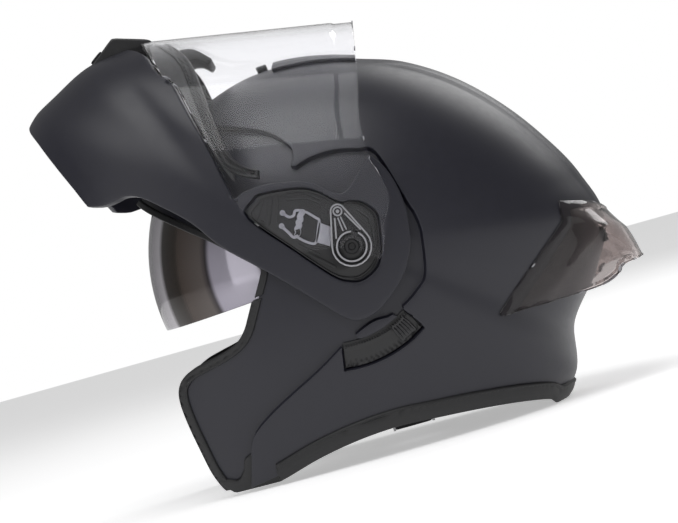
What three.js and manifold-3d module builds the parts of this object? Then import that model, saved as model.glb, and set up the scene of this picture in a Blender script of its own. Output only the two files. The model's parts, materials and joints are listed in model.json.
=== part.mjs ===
// Flip-up (modular) motorcycle helmet, standing on its lower rim with the chin bar raised and the
// smoke sun shield down. Millimetres, +Z up, -Y is the front, +X is the wearer's left.
// Every curved wall is one family of surfaces round the chin bar's hinge axis: a slice through
// that axis is a superellipse from the ear to the middle plane, and a radius curve drives it.
import * as THREE from 'three';
import { mergeVertices } from 'three/addons/utils/BufferGeometryUtils.js';
import Module from 'manifold-3d';

// ---------------------------------------------------------------- driving dimensions
const HINGE_HEIGHT = 128;        // chin bar hinge above the surface that the helmet stands on
const GAP = 0.3;                 // free space kept between touching pieces
const SHELL_HALF_WIDTH = 121;    // outer shell at the ears
const SHELL_WALL = 3.6;
const SEAT_DEPTH = 4.5;          // how deep the chin bar's seat is let into the shell
const LINER_WALL = 25;
const PAD_WALL = 9;
const CHIN_HALF_WIDTH = 122;
const CHIN_WALL = 4.6;
const CHIN_LINER_WALL = 20;
const VISOR_HALF_WIDTH = 126.4;
const VISOR_WALL = 2.2;
const VISOR_DISTANCE = 143.3;    // hinge to the flat front line of the visor
const VISOR_TILT = 80.2;         // direction of that distance, degrees
const SUN_PIVOT = [-13, 130];    // sun shield pivot, y and z
const SUN_RADIUS = 115.4;
const SUN_HALF_WIDTH = 109;
const SUN_WALL = 2;
const SPOILER_WIDTH = 216;
const TRIM_HEIGHT = 11;
const TRIM_STAND = 2.2;          // how far the rubber trim stands out from the shell
const LOBE_RADIUS = 47.5;        // swept by the lower end of the chin bar's ear lobes
const HEEL_RADIUS = 43;          // swept by their rear edge
const HORN_RADIUS = 59;          // swept by their upper corner
const SQUARENESS = 2.4;          // superellipse exponent
const SIDE = 160;                // half width of a cutter that reaches past both ears
const CUTTER = 400;              // edge of a cutting block larger than the helmet
const BORE = 5;                  // hinge bore through the chin bar and the visor
const PIN_ROOM = 4.3;            // bore of the shell round the hinge bolt
const STUD_ROOM = 5;             // bore of the shell round each latch stud

// Radius of the shell's middle line round the hinge, as [direction in degrees, millimetres].
// Past 152 degrees the front is open, and the values only shape the cheeks.
const SHELL_CURVE = [[-45, 164], [-34, 150], [-20, 157], [-8, 162], [2, 152], [15, 139.5], [30, 130],
  [45, 124.3], [60, 121], [75, 120.2], [90, 122], [105, 126], [120, 129.5], [135, 134], [150, 140],
  [165, 154], [180, 170], [200, 190], [220, 205], [240, 200], [260, 184], [285, 170]];
const CHIN_CURVE = [[60, 165], [100, 171], [112, 177], [118, 182], [124, 192], [130, 203], [137, 211],
  [143.5, 219.5], [150, 222], [165, 222], [190, 215], [230, 208], [280, 190], [330, 175]];

// Side outlines, as [y, z].
const FACE_EDGE = [[-150, 214], [-117, 185], [-81, 155], [-56, 131], [-63.5, 113.5], [-71, 101],
  [-75, 94], [-82, 87.5], [-106, 80], [-118, 76.5], [-124.5, 69], [-124, 50], [-119, 17],
  [-116.5, 7], [-110, 0]];
const RIM = [[-110, 0], [-99, 0], [-78, 3.5], [-53, 10.5], [-27, 15], [-1, 16.6], [24, 15], [49, 12.8],
  [73, 9.5], [92, 5], [99, 0], [114, 0]];
const SEAT_TOP = [[-150, 245], [-95, 233], [-67, 224.5], [-48, 217], [-33, 210], [-24.6, 203], [-19.5, 196],
  [-19.5, 190], [-23, 185]];
const SEAT_LOW = [[-20, 72.5], [-57, 52.5], [-87, 34.5], [-92, 24], [-99.5, 0], [-105, -20], [-200, -20]];
const CHIN_LOW = [[-177, 257], [-170.5, 241.5], [-160.5, 219.8], [-148.5, 194.8], [-140, 192.6], [-132.5, 193],
  [-115, 191], [-103.5, 181.5], [-89, 167.5], [-76, 149.5], [-55, 129], [-33, 106.5], [-17.5, 90],
  [-9, 84.5], [2, 85.5], [12.5, 91.5], [25.5, 103.5], [34, 118.5], [36, 128], [36.5, 153],
  [33, 166], [26, 178]];
const VISOR_LOW = [[-84.8, 261.5], [-78, 254], [-71.7, 228.5], [-65, 201.5], [-59.7, 172], [-54.3, 163.5],
  [-33.3, 137.7], [-14.6, 115.7], [-7, 110], [1.5, 108.7], [11.6, 114]];
const VISOR_REAR = [[19, 124], [22, 135], [29.4, 151], [27, 169], [25, 173], [25, 194], [27, 210],
  [30, 220], [34, 240], [37, 254], [41, 275], [41, 320]];
const POCKET = [[-50, 170.5], [-43, 173], [-17, 169], [0, 155.5], [6, 155], [14, 151.5], [20, 143], [16.5, 121],
  [11.6, 112], [1.5, 106.7], [-7, 108], [-16, 114], [-35, 136], [-56, 162]];

// ---------------------------------------------------------------- solids
const wasm = await Module();
wasm.setup();

function toSolid(geometry) {
  const bare = geometry.clone();
  bare.deleteAttribute('normal');
  bare.deleteAttribute('uv');
  const merged = mergeVertices(bare, 1e-4);
  return new wasm.Manifold(new wasm.Mesh({
    numProp: 3,
    vertProperties: new Float32Array(merged.attributes.position.array),
    triVerts: new Uint32Array(merged.index.array),
  }));
}

function toGeometry(solid) {
  const mesh = solid.getMesh();
  const geometry = new THREE.BufferGeometry();
  geometry.setAttribute('position', new THREE.BufferAttribute(new Float32Array(mesh.vertProperties), 3));
  geometry.setIndex(new THREE.BufferAttribute(new Uint32Array(mesh.triVerts), 1));
  return geometry;
}

const radians = THREE.MathUtils.degToRad;

// Smooth closed curve through [direction, radius] pairs, sorted by direction.
function radiusAt(curve, direction) {
  const first = curve[0][0];
  const turned = ((direction - first) % 360 + 360) % 360 + first;
  const count = curve.length;
  let i = 0;
  while (i < count - 1 && curve[i + 1][0] <= turned) i += 1;
  const at = (k) => {
    const wrap = Math.floor(k / count);
    const [angle, radius] = curve[((k % count) + count) % count];
    return [angle + 360 * wrap, radius];
  };
  const [a0, r0] = at(i - 1);
  const [a1, r1] = at(i);
  const [a2, r2] = at(i + 1);
  const [a3, r3] = at(i + 2);
  const t = (turned - a1) / (a2 - a1);
  const slope1 = (r2 - r0) / (a2 - a0) * (a2 - a1);
  const slope2 = (r3 - r1) / (a3 - a1) * (a2 - a1);
  return (2 * t ** 3 - 3 * t ** 2 + 1) * r1 + (t ** 3 - 2 * t ** 2 + t) * slope1
    + (3 * t ** 2 - 2 * t ** 3) * r2 + (t ** 3 - t ** 2) * slope2;
}

// A closed egg round an axis along X: half width at the poles, radius by direction.
function egg(halfWidth, radius, { axis = [0, HINGE_HEIGHT], around = 36, across = 16 } = {}) {
  const ball = new THREE.SphereGeometry(1, around, across);
  ball.rotateZ(-Math.PI / 2);
  const place = ball.attributes.position;
  const power = 2 / SQUARENESS;
  for (let i = 0; i < place.count; i += 1) {
    const x = THREE.MathUtils.clamp(place.getX(i), -1, 1);
    const flat = Math.hypot(place.getY(i), place.getZ(i));
    const direction = THREE.MathUtils.radToDeg(Math.atan2(place.getZ(i), place.getY(i)));
    const reach = flat < 1e-6 ? 0 : radius(direction) * flat ** power;
    const angle = radians(direction);
    place.setXYZ(i, Math.sign(x) * halfWidth * Math.abs(x) ** power,
      axis[0] + reach * Math.cos(angle), axis[1] + reach * Math.sin(angle));
  }
  return toSolid(ball);
}

const INSIDE_GRID = { around: 24, across: 12 };
const shellEgg = (offset) => egg(SHELL_HALF_WIDTH + offset, (d) => radiusAt(SHELL_CURVE, d) + offset);
const insideEgg = (offset) => egg(SHELL_HALF_WIDTH + offset, (d) => radiusAt(SHELL_CURVE, d) + offset,
  INSIDE_GRID);
const chinEgg = (offset) => egg(CHIN_HALF_WIDTH + offset, (d) => radiusAt(CHIN_CURVE, d) + offset);
const sunEgg = (offset) => egg(SUN_HALF_WIDTH + offset, () => SUN_RADIUS + offset,
  { axis: SUN_PIVOT, around: 30, across: 14 });
const visorEgg = (offset) => egg(VISOR_HALF_WIDTH + offset, (d) => {
  const away = Math.min(Math.abs(((d - VISOR_TILT + 540) % 360) - 180), 55);
  return VISOR_DISTANCE / Math.cos(radians(away)) + offset;
}, { around: 30, across: 14 });

// A prism over a side outline [y, z], from x = low to x = high.
function prism(points, low = -SIDE, high = SIDE) {
  const shape = new THREE.Shape(points.map(([y, z]) => new THREE.Vector2(y, z)));
  const body = new THREE.ExtrudeGeometry(shape, { depth: high - low, bevelEnabled: false });
  body.applyMatrix4(new THREE.Matrix4().makeBasis(
    new THREE.Vector3(0, 1, 0), new THREE.Vector3(0, 0, 1), new THREE.Vector3(1, 0, 0)));
  body.translate(low, 0, 0);
  return toSolid(body);
}

function block(size, centre, turn = 0) {
  const body = new THREE.BoxGeometry(...size);
  body.rotateX(radians(turn));
  body.translate(...centre);
  return toSolid(body);
}

// A round bar along X.
function barX(radius, low, high, [y, z], sides = 24) {
  const body = new THREE.CylinderGeometry(radius, radius, high - low, sides);
  body.rotateZ(Math.PI / 2);
  body.translate((low + high) / 2, y, z);
  return toSolid(body);
}

function moved(points, dy, dz) {
  return points.map(([y, z]) => [y + dy, z + dz]);
}

function arc([cy, cz], radius, from, to, steps) {
  return Array.from({ length: steps + 1 }, (_, i) => {
    const angle = radians(from + (to - from) * i / steps);
    return [cy + radius * Math.cos(angle), cz + radius * Math.sin(angle)];
  });
}

// Bore along X through both sides of the helmet.
function boreX(radius, centre, sides = 20) {
  return barX(radius, 80, SIDE, centre, sides).add(barX(radius, -SIDE, -80, centre, sides));
}

function mirrored(solid) {
  return solid.mirror([1, 0, 0]);
}

// A band swept along points by an outline of its own, for straps and rubber lips.
function sweep(points, width, thickness, steps, turned = false) {
  const path = new THREE.CatmullRomCurve3(points.map((p) => new THREE.Vector3(...p)));
  const half = turned ? [thickness / 2, width / 2] : [width / 2, thickness / 2];
  const section = new THREE.Shape([
    new THREE.Vector2(-half[0], -half[1]), new THREE.Vector2(half[0], -half[1]),
    new THREE.Vector2(half[0], half[1]), new THREE.Vector2(-half[0], half[1])]);
  return toSolid(new THREE.ExtrudeGeometry(section, { steps, extrudePath: path }));
}

// ---------------------------------------------------------------- materials and the group
const finishes = {
  shell: [0x2b2b30, 0.42, 0],
  trim: [0x121214, 0.75, 0],
  foam: [0x35353a, 0.95, 0],
  cloth: [0x1d1d20, 0.95, 0],
  clear: [0xdfe6ea, 0.05, 0],
  smoke: [0x5a5048, 0.12, 0],
  steel: [0xb8babd, 0.3, 1],
  grey: [0x9a9ba0, 0.5, 0],
  plastic: [0x19191c, 0.5, 0],
  webbing: [0x222225, 0.9, 0],
};
const helmet = new THREE.Group();

function add(name, solid, finish) {
  const [color, roughness, metalness] = finishes[finish];
  const material = new THREE.MeshStandardMaterial({ color, roughness, metalness });
  const mesh = new THREE.Mesh(toGeometry(solid), material);
  mesh.name = name;
  helmet.add(mesh);
}

function addPair(name, solid, finish) {
  add(`${name}_left`, solid, finish);
  add(`${name}_right`, mirrored(solid), finish);
}

// ---------------------------------------------------------------- outer shell
const hinge = [0, HINGE_HEIGHT];
const faceOpening = prism([...FACE_EDGE, [-110, -30], [-260, -30], [-260, 214]]);
const belowRim = prism([...RIM, [200, 0], [200, -60], [-200, -60], [-200, 0]]);
const rimUp = (rise) => prism([...moved(RIM, 0, rise), [200, rise], [200, -60], [-200, -60], [-200, rise]]);
const seat = prism([...SEAT_TOP, ...arc(hinge, HORN_RADIUS, 114, 60, 6), ...arc(hinge, HEEL_RADIUS, 22, -6, 3),
  ...arc(hinge, LOBE_RADIUS, -34, -92, 5), ...SEAT_LOW, [-200, 245]]);
const shellOuter = shellEgg(0).subtract(shellEgg(20).subtract(shellEgg(-SEAT_DEPTH)).intersect(seat));

// The sun shield turns up under a thinner stretch of shell, in a fan round its pivot.
const SUN_ROOM_UNDER_CROWN = 3.7;   // wall left over the retracted shield
const SUN_ROOM_UNDER_SEAT = 6.3;    // depth of the wall's inner face below the seat
const SEAT_MARGIN = 4;
const seatAndMargin = prism([...moved(SEAT_TOP, 1, 3), ...arc(hinge, HORN_RADIUS + SEAT_MARGIN, 114, 60, 6),
  ...arc(hinge, HEEL_RADIUS + SEAT_MARGIN, 22, -6, 3), ...moved(SEAT_LOW, SEAT_MARGIN, -SEAT_MARGIN),
  [-200, 250]]);
const shieldPath = prism([...arc(SUN_PIVOT, 170, 88, 178, 10), [-45, 132], [-45, 165], [-20, 170]]);
const shieldRoom = shellEgg(-SUN_ROOM_UNDER_CROWN).subtract(seatAndMargin).add(shellEgg(-SUN_ROOM_UNDER_SEAT))
  .intersect(shieldPath);
const SHELL_INSIDE = -SHELL_WALL - SEAT_DEPTH;
const shellInner = shellEgg(SHELL_INSIDE).add(shieldRoom);
const RIM_RISE = 3;              // height of the shell's own edge above the lowest line of the trim
const shellCutter = faceOpening.add(rimUp(RIM_RISE));

// Sector round the sun shield's pivot, for the slider's channel on the left side.
const sector = (inner, outer, from, to) => prism([...arc(SUN_PIVOT, outer, from, to, 6),
  ...arc(SUN_PIVOT, inner, to, from, 6)], 60, 160);
const channel = shellEgg(20).subtract(shellEgg(-SEAT_DEPTH)).intersect(sector(57, 74, -99, -55));
const STUDS = [[-37.5, 90.6], [-38.5, 82]];
const studHoles = boreX(STUD_ROOM, STUDS[0]).add(boreX(STUD_ROOM, STUDS[1]));
add('outer_shell', shellOuter.subtract(channel).subtract(shellInner).subtract(shellCutter)
  .subtract(boreX(PIN_ROOM, hinge)).subtract(studHoles), 'shell');

// ---------------------------------------------------------------- liner and comfort padding
const LINER_OUT = SHELL_INSIDE - GAP;
const CHEEK_DEPTH = 38;
const CHEEK_FOAM = 16;
const NECK_ROLL = 26;
const cavity = insideEgg(LINER_OUT - LINER_WALL);
const linerFloor = prism([[-200, 100], [-30, 100], [20, 68], [44, 54], [72, 41], [200, 41], [200, -60],
  [-200, -60]]);
const brow = prism([...moved(FACE_EDGE.slice(0, 4), 4, 4), [-56, 60], [-260, 60], [-260, 218]]);
const sunFan = prism([...arc(SUN_PIVOT, 190, 92, 215, 12), [-5, 100], [8, 118], [8, 145], [-6, 190]]);
const SHIELD_SLACK = 1.6;           // air under the sun shield's inner face
const PLATE_BAY = 17;               // radius of the bay for each hinge bolt's nut
const sunRoom = sunFan.subtract(sunEgg(-SUN_WALL - SHIELD_SLACK));
const plateBay = barX(PLATE_BAY, 100, 130, hinge);
add('impact_liner', shellEgg(LINER_OUT).subtract(cavity).subtract(linerFloor).subtract(brow).subtract(sunRoom)
  .subtract(plateBay).subtract(mirrored(plateBay)), 'foam');

const padRegion = prism([[-104, 190], [-76, 172], [-48, 150], [-20, 126], [20, 98], [60, 84], [130, 84],
  [160, 280], [-120, 280]]);
const HEAD_SIDE = LINER_OUT - LINER_WALL;
const padBand = insideEgg(HEAD_SIDE - GAP).subtract(insideEgg(HEAD_SIDE - PAD_WALL));
add('crown_pad', padBand.intersect(padRegion), 'cloth');

const HALF_FACE_ROOM = 52;          // free half width between the cheek pads
const leftOf = (x) => block([200, CUTTER, CUTTER], [x + 100, 0, 200]);
const cheekShape = prism([[-60, 94], [-73, 85], [-103, 72], [-112, 62], [-109, 24], [-101, 13], [-74, 15],
  [-50, 21], [-8, 26], [-6, 60], [-30, 94]]).intersect(leftOf(HALF_FACE_ROOM));
const cheekFoam = shellEgg(LINER_OUT - GAP).subtract(insideEgg(LINER_OUT - CHEEK_FOAM));
const cheekPad = insideEgg(LINER_OUT - CHEEK_FOAM - GAP).subtract(insideEgg(LINER_OUT - CHEEK_DEPTH));
addPair('cheek_foam', cheekFoam.intersect(cheekShape), 'foam');
addPair('cheek_pad', cheekPad.intersect(cheekShape), 'cloth');

const neckShape = prism([[34, 24], [60, 21], [90, 15], [104, 12], [150, 12], [150, 38], [70, 38], [48, 50],
  [34, 50]]);
const neckBand = shellEgg(LINER_OUT - GAP).subtract(insideEgg(LINER_OUT - NECK_ROLL));
add('neck_roll', neckBand.intersect(neckShape), 'cloth');

// ---------------------------------------------------------------- rubber trims
const trimBand = shellEgg(TRIM_STAND).subtract(shellEgg(LINER_OUT + 2));
const shellRoom = shellEgg(GAP).subtract(shellEgg(SHELL_INSIDE - 0.2)).subtract(rimUp(RIM_RISE - GAP));
const frontStop = prism([[-200, -50], [-78, -50], [-80, 40], [-200, 40]]);
add('base_trim', trimBand.intersect(rimUp(TRIM_HEIGHT)).subtract(belowRim).subtract(shellRoom)
  .subtract(frontStop), 'trim');

// Rubber lip on the front edge of each cheek, from the eye port down to the rim.
const lipLine = FACE_EDGE.slice(4);
const lipInner = moved(lipLine, 5, 0).reverse();
const lipShape = prism([...moved(lipLine, -1.6, 1.2), ...lipInner]);
const lipBand = shellEgg(-SEAT_DEPTH + 1.4).subtract(shellEgg(LINER_OUT - 1));
const cheekWall = shellEgg(-SEAT_DEPTH + GAP).subtract(shellEgg(SHELL_INSIDE - GAP));
const aheadOfEdge = prism([...moved(FACE_EDGE, -GAP, GAP), [-110, -30], [-260, -30], [-260, 214]]);
const lip = lipBand.intersect(lipShape).subtract(cheekWall.subtract(aheadOfEdge)).intersect(leftOf(0))
  .subtract(rimUp(RIM_RISE + GAP));
addPair('face_lip', lip, 'trim');

// Foot block under the front corner of each cheek, with the flat that the helmet stands on.
const corner = shellEgg(-SEAT_DEPTH + 1).subtract(shellEgg(LINER_OUT - 3))
  .intersect(prism([[-109, 0], [-80.5, 0], [-80.5, 2.4], [-109, 2.4]]))
  .intersect(leftOf(0));
addPair('corner_foot', corner, 'trim');

// Two round studs on each cheek that the closed chin bar locks over.
const studBody = shellEgg(-SEAT_DEPTH + 0.7).subtract(shellEgg(SHELL_INSIDE));
const STUD_RADIUS = 4.2;
const STUD_KEY = 1.6;               // radius of the hexagon socket in each stud
[['latch_stud_upper', 'steel'], ['latch_stud_lower', 'trim']].forEach(([name, finish], i) => {
  const socket = barX(STUD_KEY, 95, SIDE, STUDS[i], 6);
  addPair(name, barX(STUD_RADIUS, 95, SIDE, STUDS[i], 18).intersect(studBody).subtract(socket), finish);
});

// ---------------------------------------------------------------- crown, neck and rear fittings
const ventLid = prism([[-45, 222], [-38, 229], [-31, 234.5], [-21, 242.5], [-14.5, 260], [-10, 262], [34, 262],
  [34, 232], [25, 237], [9, 223.5], [-13, 219.5], [-30, 221.5]]);
const LID_RISE = 3;
const LID_WIDTH = 88;
const SHUTTER_RISE = 4.3;
const VENT_CENTRE = [0, -22, 252];
const VENT_LEAN = -8;
const frontVent = shellEgg(LID_RISE).subtract(shellEgg(GAP)).intersect(ventLid)
  .intersect(block([LID_WIDTH, CUTTER, CUTTER], [0, 0, 200]));
add('top_vent', frontVent.subtract(block([46, 14, 30], VENT_CENTRE, VENT_LEAN)), 'shell');
const ventSlide = shellEgg(SHUTTER_RISE).subtract(shellEgg(GAP + 0.6))
  .intersect(block([44.8, 6, 30], [0, VENT_CENTRE[1] - 3.6, VENT_CENTRE[2]], VENT_LEAN));
add('top_vent_slider', ventSlide, 'plastic');

const SPOILER_SIDE = [[129, 120.5], [150, 115.8], [161, 111.6], [164, 107.5], [171, 91], [177.5, 73.5],
  [155, 76.8], [146, 75.5], [141, 74], [114, 65.5], [77, 63.5], [77, 66.5]];
const SPOILER_REACH = 22;
const spoilerSkin = shellEgg(SPOILER_REACH).subtract(shellEgg(1)).intersect(prism(SPOILER_SIDE));
const spoilerCore = shellEgg(SPOILER_REACH - 5).subtract(shellEgg(0.6)).intersect(prism(
  [[142, 110], [160, 106], [168, 88], [170, 79.5], [156, 82], [140, 80], [118, 73], [112, 74]]));
const spoilerRoom = block([SPOILER_WIDTH, CUTTER, CUTTER], [0, 200, 100]);
add('rear_spoiler', spoilerSkin.subtract(spoilerCore).intersect(spoilerRoom), 'smoke');
const rearVent = shellEgg(2.2).subtract(shellEgg(GAP))
  .intersect(prism([[100, 88], [170, 88], [170, 101], [100, 101]], -35, 35));
add('rear_vent', rearVent, 'plastic');

// ---------------------------------------------------------------- hinges and fittings at the ears
const POCKET_FLOOR = CHIN_HALF_WIDTH - 2.6;
const bolt = barX(4, 109.6, POCKET_FLOOR + 2.2, hinge)
  .add(barX(7, POCKET_FLOOR + GAP, POCKET_FLOOR + 2.3, hinge))
  .add(barX(9, 109.6, 112, hinge, 6)).subtract(barX(2.2, POCKET_FLOOR + 1, 130, hinge, 6));
addPair('hinge_bolt', bolt, 'steel');

const plateShape = POCKET.map(([y, z]) => [y + (-13 - y) * 0.035, z + (140 - z) * 0.035]);
const HUB_END = 126.6;              // outer face of the pivot cap, the widest point of the helmet
const hub = barX(9, POCKET_FLOOR + GAP, POCKET_FLOOR + 4, hinge)
  .add(barX(4.5, POCKET_FLOOR + 3, HUB_END, hinge));
const plateBody = prism(plateShape, POCKET_FLOOR + GAP, POCKET_FLOOR + 1.4).add(hub)
  .subtract(barX(7.4, 100, POCKET_FLOOR + 2.7, hinge));
addPair('visor_base_plate', plateBody, 'plastic');

const RELEASE = [-25, 149];         // quick release slider of the visor, y and z
const RELEASE_TURN = 39;
const RELEASE_LIFT = 2.15;          // middle of the slider above the pocket's floor
const releaseAt = (size, dy, dz) => block(size,
  [POCKET_FLOOR + RELEASE_LIFT, RELEASE[0] + dy, RELEASE[1] + dz], -RELEASE_TURN);
const release = releaseAt([0.9, 22, 11], 0.8, -0.6).subtract(releaseAt([4, 8, 6], 3, -2.4));
addPair('visor_quick_release', release, 'grey');

const HOOK = [-51, 152.3];
const hookRoom = block([3.8, 20, 11], [116.1, ...HOOK], 8);
const hook = block([1.7, 13, 9.4], [116.9, HOOK[0] - 1.5, HOOK[1]], 8)
  .subtract(block([4, 5, 4.4], [116.9, HOOK[0] + 3, HOOK[1] - 3], 8));
addPair('latch_hook', hook, 'steel');

const sunPin = barX(2.6, 105.6, 112, SUN_PIVOT, 14).add(barX(5, 105.6, 106.6, SUN_PIVOT, 14));
addPair('sun_shield_pin', sunPin, 'steel');

const trackBody = shellEgg(-SEAT_DEPTH + 1.3).subtract(shellEgg(-SEAT_DEPTH + GAP));
add('sun_slider_track', trackBody.intersect(sector(57.5, 73.5, -98.5, -55.5)), 'plastic');
const knobBody = shellEgg(-0.4).subtract(shellEgg(-SEAT_DEPTH + 2));
add('sun_shield_slider', knobBody.intersect(sector(59.5, 71.5, -68, -58)), 'trim');

// ---------------------------------------------------------------- front fittings
const deflectorShape = [[-82, 270], [-72, 276], [-61, 273], [-53, 266], [-56, 262], [-66, 265], [-80, 262]];
add('breath_deflector', prism(deflectorShape, -34, 34), 'trim');

const COVER_HALF = 25;
const ventCover = prism([[-134.5, 280], [-127, 286.5], [-111, 297], [-98, 292], [-95.6, 287], [-104, 270],
  [-130, 270]], -COVER_HALF, COVER_HALF).subtract(chinEgg(GAP)).subtract(visorEgg(2));
const VENT_SLOPE = 33.3;            // slope of the cover's front face, degrees
const slideAt = (depth, size) => block(size, [0, -118.5 + depth * Math.sin(radians(VENT_SLOPE)),
  292.2 - depth * Math.cos(radians(VENT_SLOPE))], VENT_SLOPE);
add('chin_vent', ventCover.subtract(slideAt(0, [20.8, 12, 3])), 'plastic');
add('chin_vent_slider', slideAt(0.1, [20, 6, 2]), 'trim');

// Rubber lip along the upper edge of the eye port.
const browLine = FACE_EDGE.slice(0, 4);
const browShape = prism([...moved(browLine, -GAP, -GAP), ...moved(browLine, -1.8, -1.6).reverse()]);
add('brow_trim', shellEgg(-SEAT_DEPTH + 1.4).subtract(shellEgg(-SEAT_DEPTH - SHELL_WALL)).intersect(browShape),
  'trim');

// ---------------------------------------------------------------- chin strap
const STRAP_WIDTH = 24;
const STRAP_WALL = 2;
const ANCHOR = [94, 12, 55];
const BUCKLE = [24, 8, 13];
const strapLeft = sweep([[91, 12, 47], [84, 12, 34], [66, 11, 22], [47, 9, 15.5], [39, 9, 14]],
  STRAP_WIDTH, STRAP_WALL, 14);
add('chin_strap_left', strapLeft, 'webbing');
add('chin_strap_right', mirrored(sweep([[91, 12, 47], [84, 12, 34], [66, 11, 22], [40, 9, 13], [10, 8, 9],
  [-8, 8, 9]], STRAP_WIDTH, STRAP_WALL, 20)), 'webbing');
addPair('strap_anchor', block([4, 20, 9], ANCHOR), 'steel');
const strapRoom = block([28, 22, 3.2], [BUCKLE[0], BUCKLE[1], BUCKLE[2] - 4]);
add('strap_buckle', block([26, 27, 7.6], BUCKLE).subtract(strapRoom), 'steel');
const LEVER = [29, 20, 2.2];
add('buckle_lever', block(LEVER, [BUCKLE[0] + 4.7, BUCKLE[1], BUCKLE[2] + 5.4]), 'steel');

// ---------------------------------------------------------------- chin bar
const EYE_EDGE = [[12, 166], [-14, 172], [-43, 178], [-57, 176], [-60, 172], [-66, 201], [-72.5, 228.5],
  [-79, 254], [-86, 262], [-92, 275], [-100, 283], [-112, 290], [-132, 284], [-138, 281], [-153, 274],
  [-169, 266]];
const chinOutline = prism([...CHIN_LOW, ...EYE_EDGE]);
const chinBody = chinEgg(0).subtract(chinEgg(-CHIN_WALL)).intersect(chinOutline);
const pocket = prism(POCKET, POCKET_FLOOR, SIDE);
add('chin_bar', chinBody.subtract(pocket).subtract(mirrored(pocket)).subtract(boreX(BORE, hinge))
  .subtract(hookRoom).subtract(mirrored(hookRoom)), 'shell');

// The release button sits in a recess of the foam, flush with the lower rim.
const BUTTON = [0, -168.6, 244.7];
const BUTTON_TURN = 24.6;
const chinLinerSide = prism([[-131, 281], [-96, 262], [-99, 240], [-114, 232], [-138, 218.5], [-150.5, 213],
  [-152, 213], [-157, 222], [-166, 243], [-172, 257], [-167, 263], [-152, 270]]);
const chinLiner = chinEgg(-CHIN_WALL - GAP).subtract(chinEgg(-CHIN_WALL - CHIN_LINER_WALL));
const buttonRoom = block([30, 24, 12], BUTTON, BUTTON_TURN);
add('chin_liner', chinLiner.intersect(chinLinerSide).subtract(buttonRoom), 'foam');
add('chin_release_button', block([26, 9, 9], BUTTON, BUTTON_TURN), 'plastic');

// The gasket follows the visor's front edge inside the chin bar.
const eyeLine = [[-102, 320], [-94.5, 288], [-92, 279], ...VISOR_LOW.slice(0, 5)];
const gasketShape = prism([...moved(eyeLine, 0.1, 0), ...moved(eyeLine, 6, 0).reverse()]);
const gasketBody = visorEgg(-VISOR_WALL - 0.5).subtract(visorEgg(-VISOR_WALL - 4.5)).intersect(gasketShape)
  .subtract(prism(POCKET, POCKET_FLOOR - 1, SIDE)).subtract(prism(POCKET, -SIDE, 1 - POCKET_FLOOR));
add('visor_gasket', gasketBody.subtract(chinBody).subtract(chinBody.translate([0, GAP, 0])), 'trim');

// ---------------------------------------------------------------- visor
const visorSide = [...VISOR_LOW, ...VISOR_REAR, [-100, 320], [-92, 280]];
add('visor', visorEgg(0).subtract(visorEgg(-VISOR_WALL)).intersect(prism(visorSide))
  .subtract(boreX(BORE, hinge)), 'clear');

// ---------------------------------------------------------------- sun shield
const SUN_BORE = 3;
const sunSide = [[-6, 119], [-64, 112], [-124, 108.5], [-140, 109], [-140, 210], [-112, 200], [-88, 178],
  [-40, 150], [-12, 141], [-4, 137]];
add('sun_shield', sunEgg(0).subtract(sunEgg(-SUN_WALL)).intersect(prism(sunSide))
  .subtract(boreX(SUN_BORE, SUN_PIVOT, 16)), 'smoke');

// The origin goes under the middle of the whole helmet.
const whole = new THREE.Box3().setFromObject(helmet);
helmet.position.y = -(whole.min.y + whole.max.y) / 2;

export default helmet;
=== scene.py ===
# %% [markdown]
# # A flip-up motorcycle helmet
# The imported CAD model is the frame: it holds the joints, the bodies and the real sizes. This script
# makes the looks around it. Every wall of the helmet is one family of surfaces round the hinge of the
# chin bar, so the lesson starts with that surface and with a way to cut panels out of it.

# %% Load the frame
import json
import math

import bmesh
import bpy
import numpy as np
from mathutils import Matrix, Vector


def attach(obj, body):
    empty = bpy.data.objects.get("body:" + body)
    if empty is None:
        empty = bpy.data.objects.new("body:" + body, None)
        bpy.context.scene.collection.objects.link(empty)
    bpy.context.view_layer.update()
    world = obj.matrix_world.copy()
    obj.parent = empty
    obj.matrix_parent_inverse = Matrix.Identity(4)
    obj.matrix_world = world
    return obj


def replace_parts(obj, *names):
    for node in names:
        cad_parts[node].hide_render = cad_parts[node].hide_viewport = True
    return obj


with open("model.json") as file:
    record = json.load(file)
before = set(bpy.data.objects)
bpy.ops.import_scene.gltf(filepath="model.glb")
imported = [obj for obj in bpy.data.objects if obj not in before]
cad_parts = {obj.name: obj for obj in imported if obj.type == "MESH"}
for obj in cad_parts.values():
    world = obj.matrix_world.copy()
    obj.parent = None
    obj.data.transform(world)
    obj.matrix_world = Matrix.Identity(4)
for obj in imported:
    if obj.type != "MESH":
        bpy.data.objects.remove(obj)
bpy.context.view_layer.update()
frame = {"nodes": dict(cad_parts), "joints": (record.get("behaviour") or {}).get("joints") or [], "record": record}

joints = {joint["name"]: joint for joint in frame["joints"]}
HINGE = np.array(joints["chin_bar_flip"]["pos_m"])
SUN_PIN = np.array(joints["sun_shield_drop"]["pos_m"])
MM = 0.001

# %% [markdown]
# A long lens sees the wearer's left side. The helmet stands on its rim, and the camera is level and
# rolled a little, so the helmet is shown at the tilt that it has on a head.

# %% Camera and light
WORN_TILT = math.radians(15.7)
VIEW_DISTANCE = 1.8
VIEW_WIDTH = 0.434
SENSOR = 36.0

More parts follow.
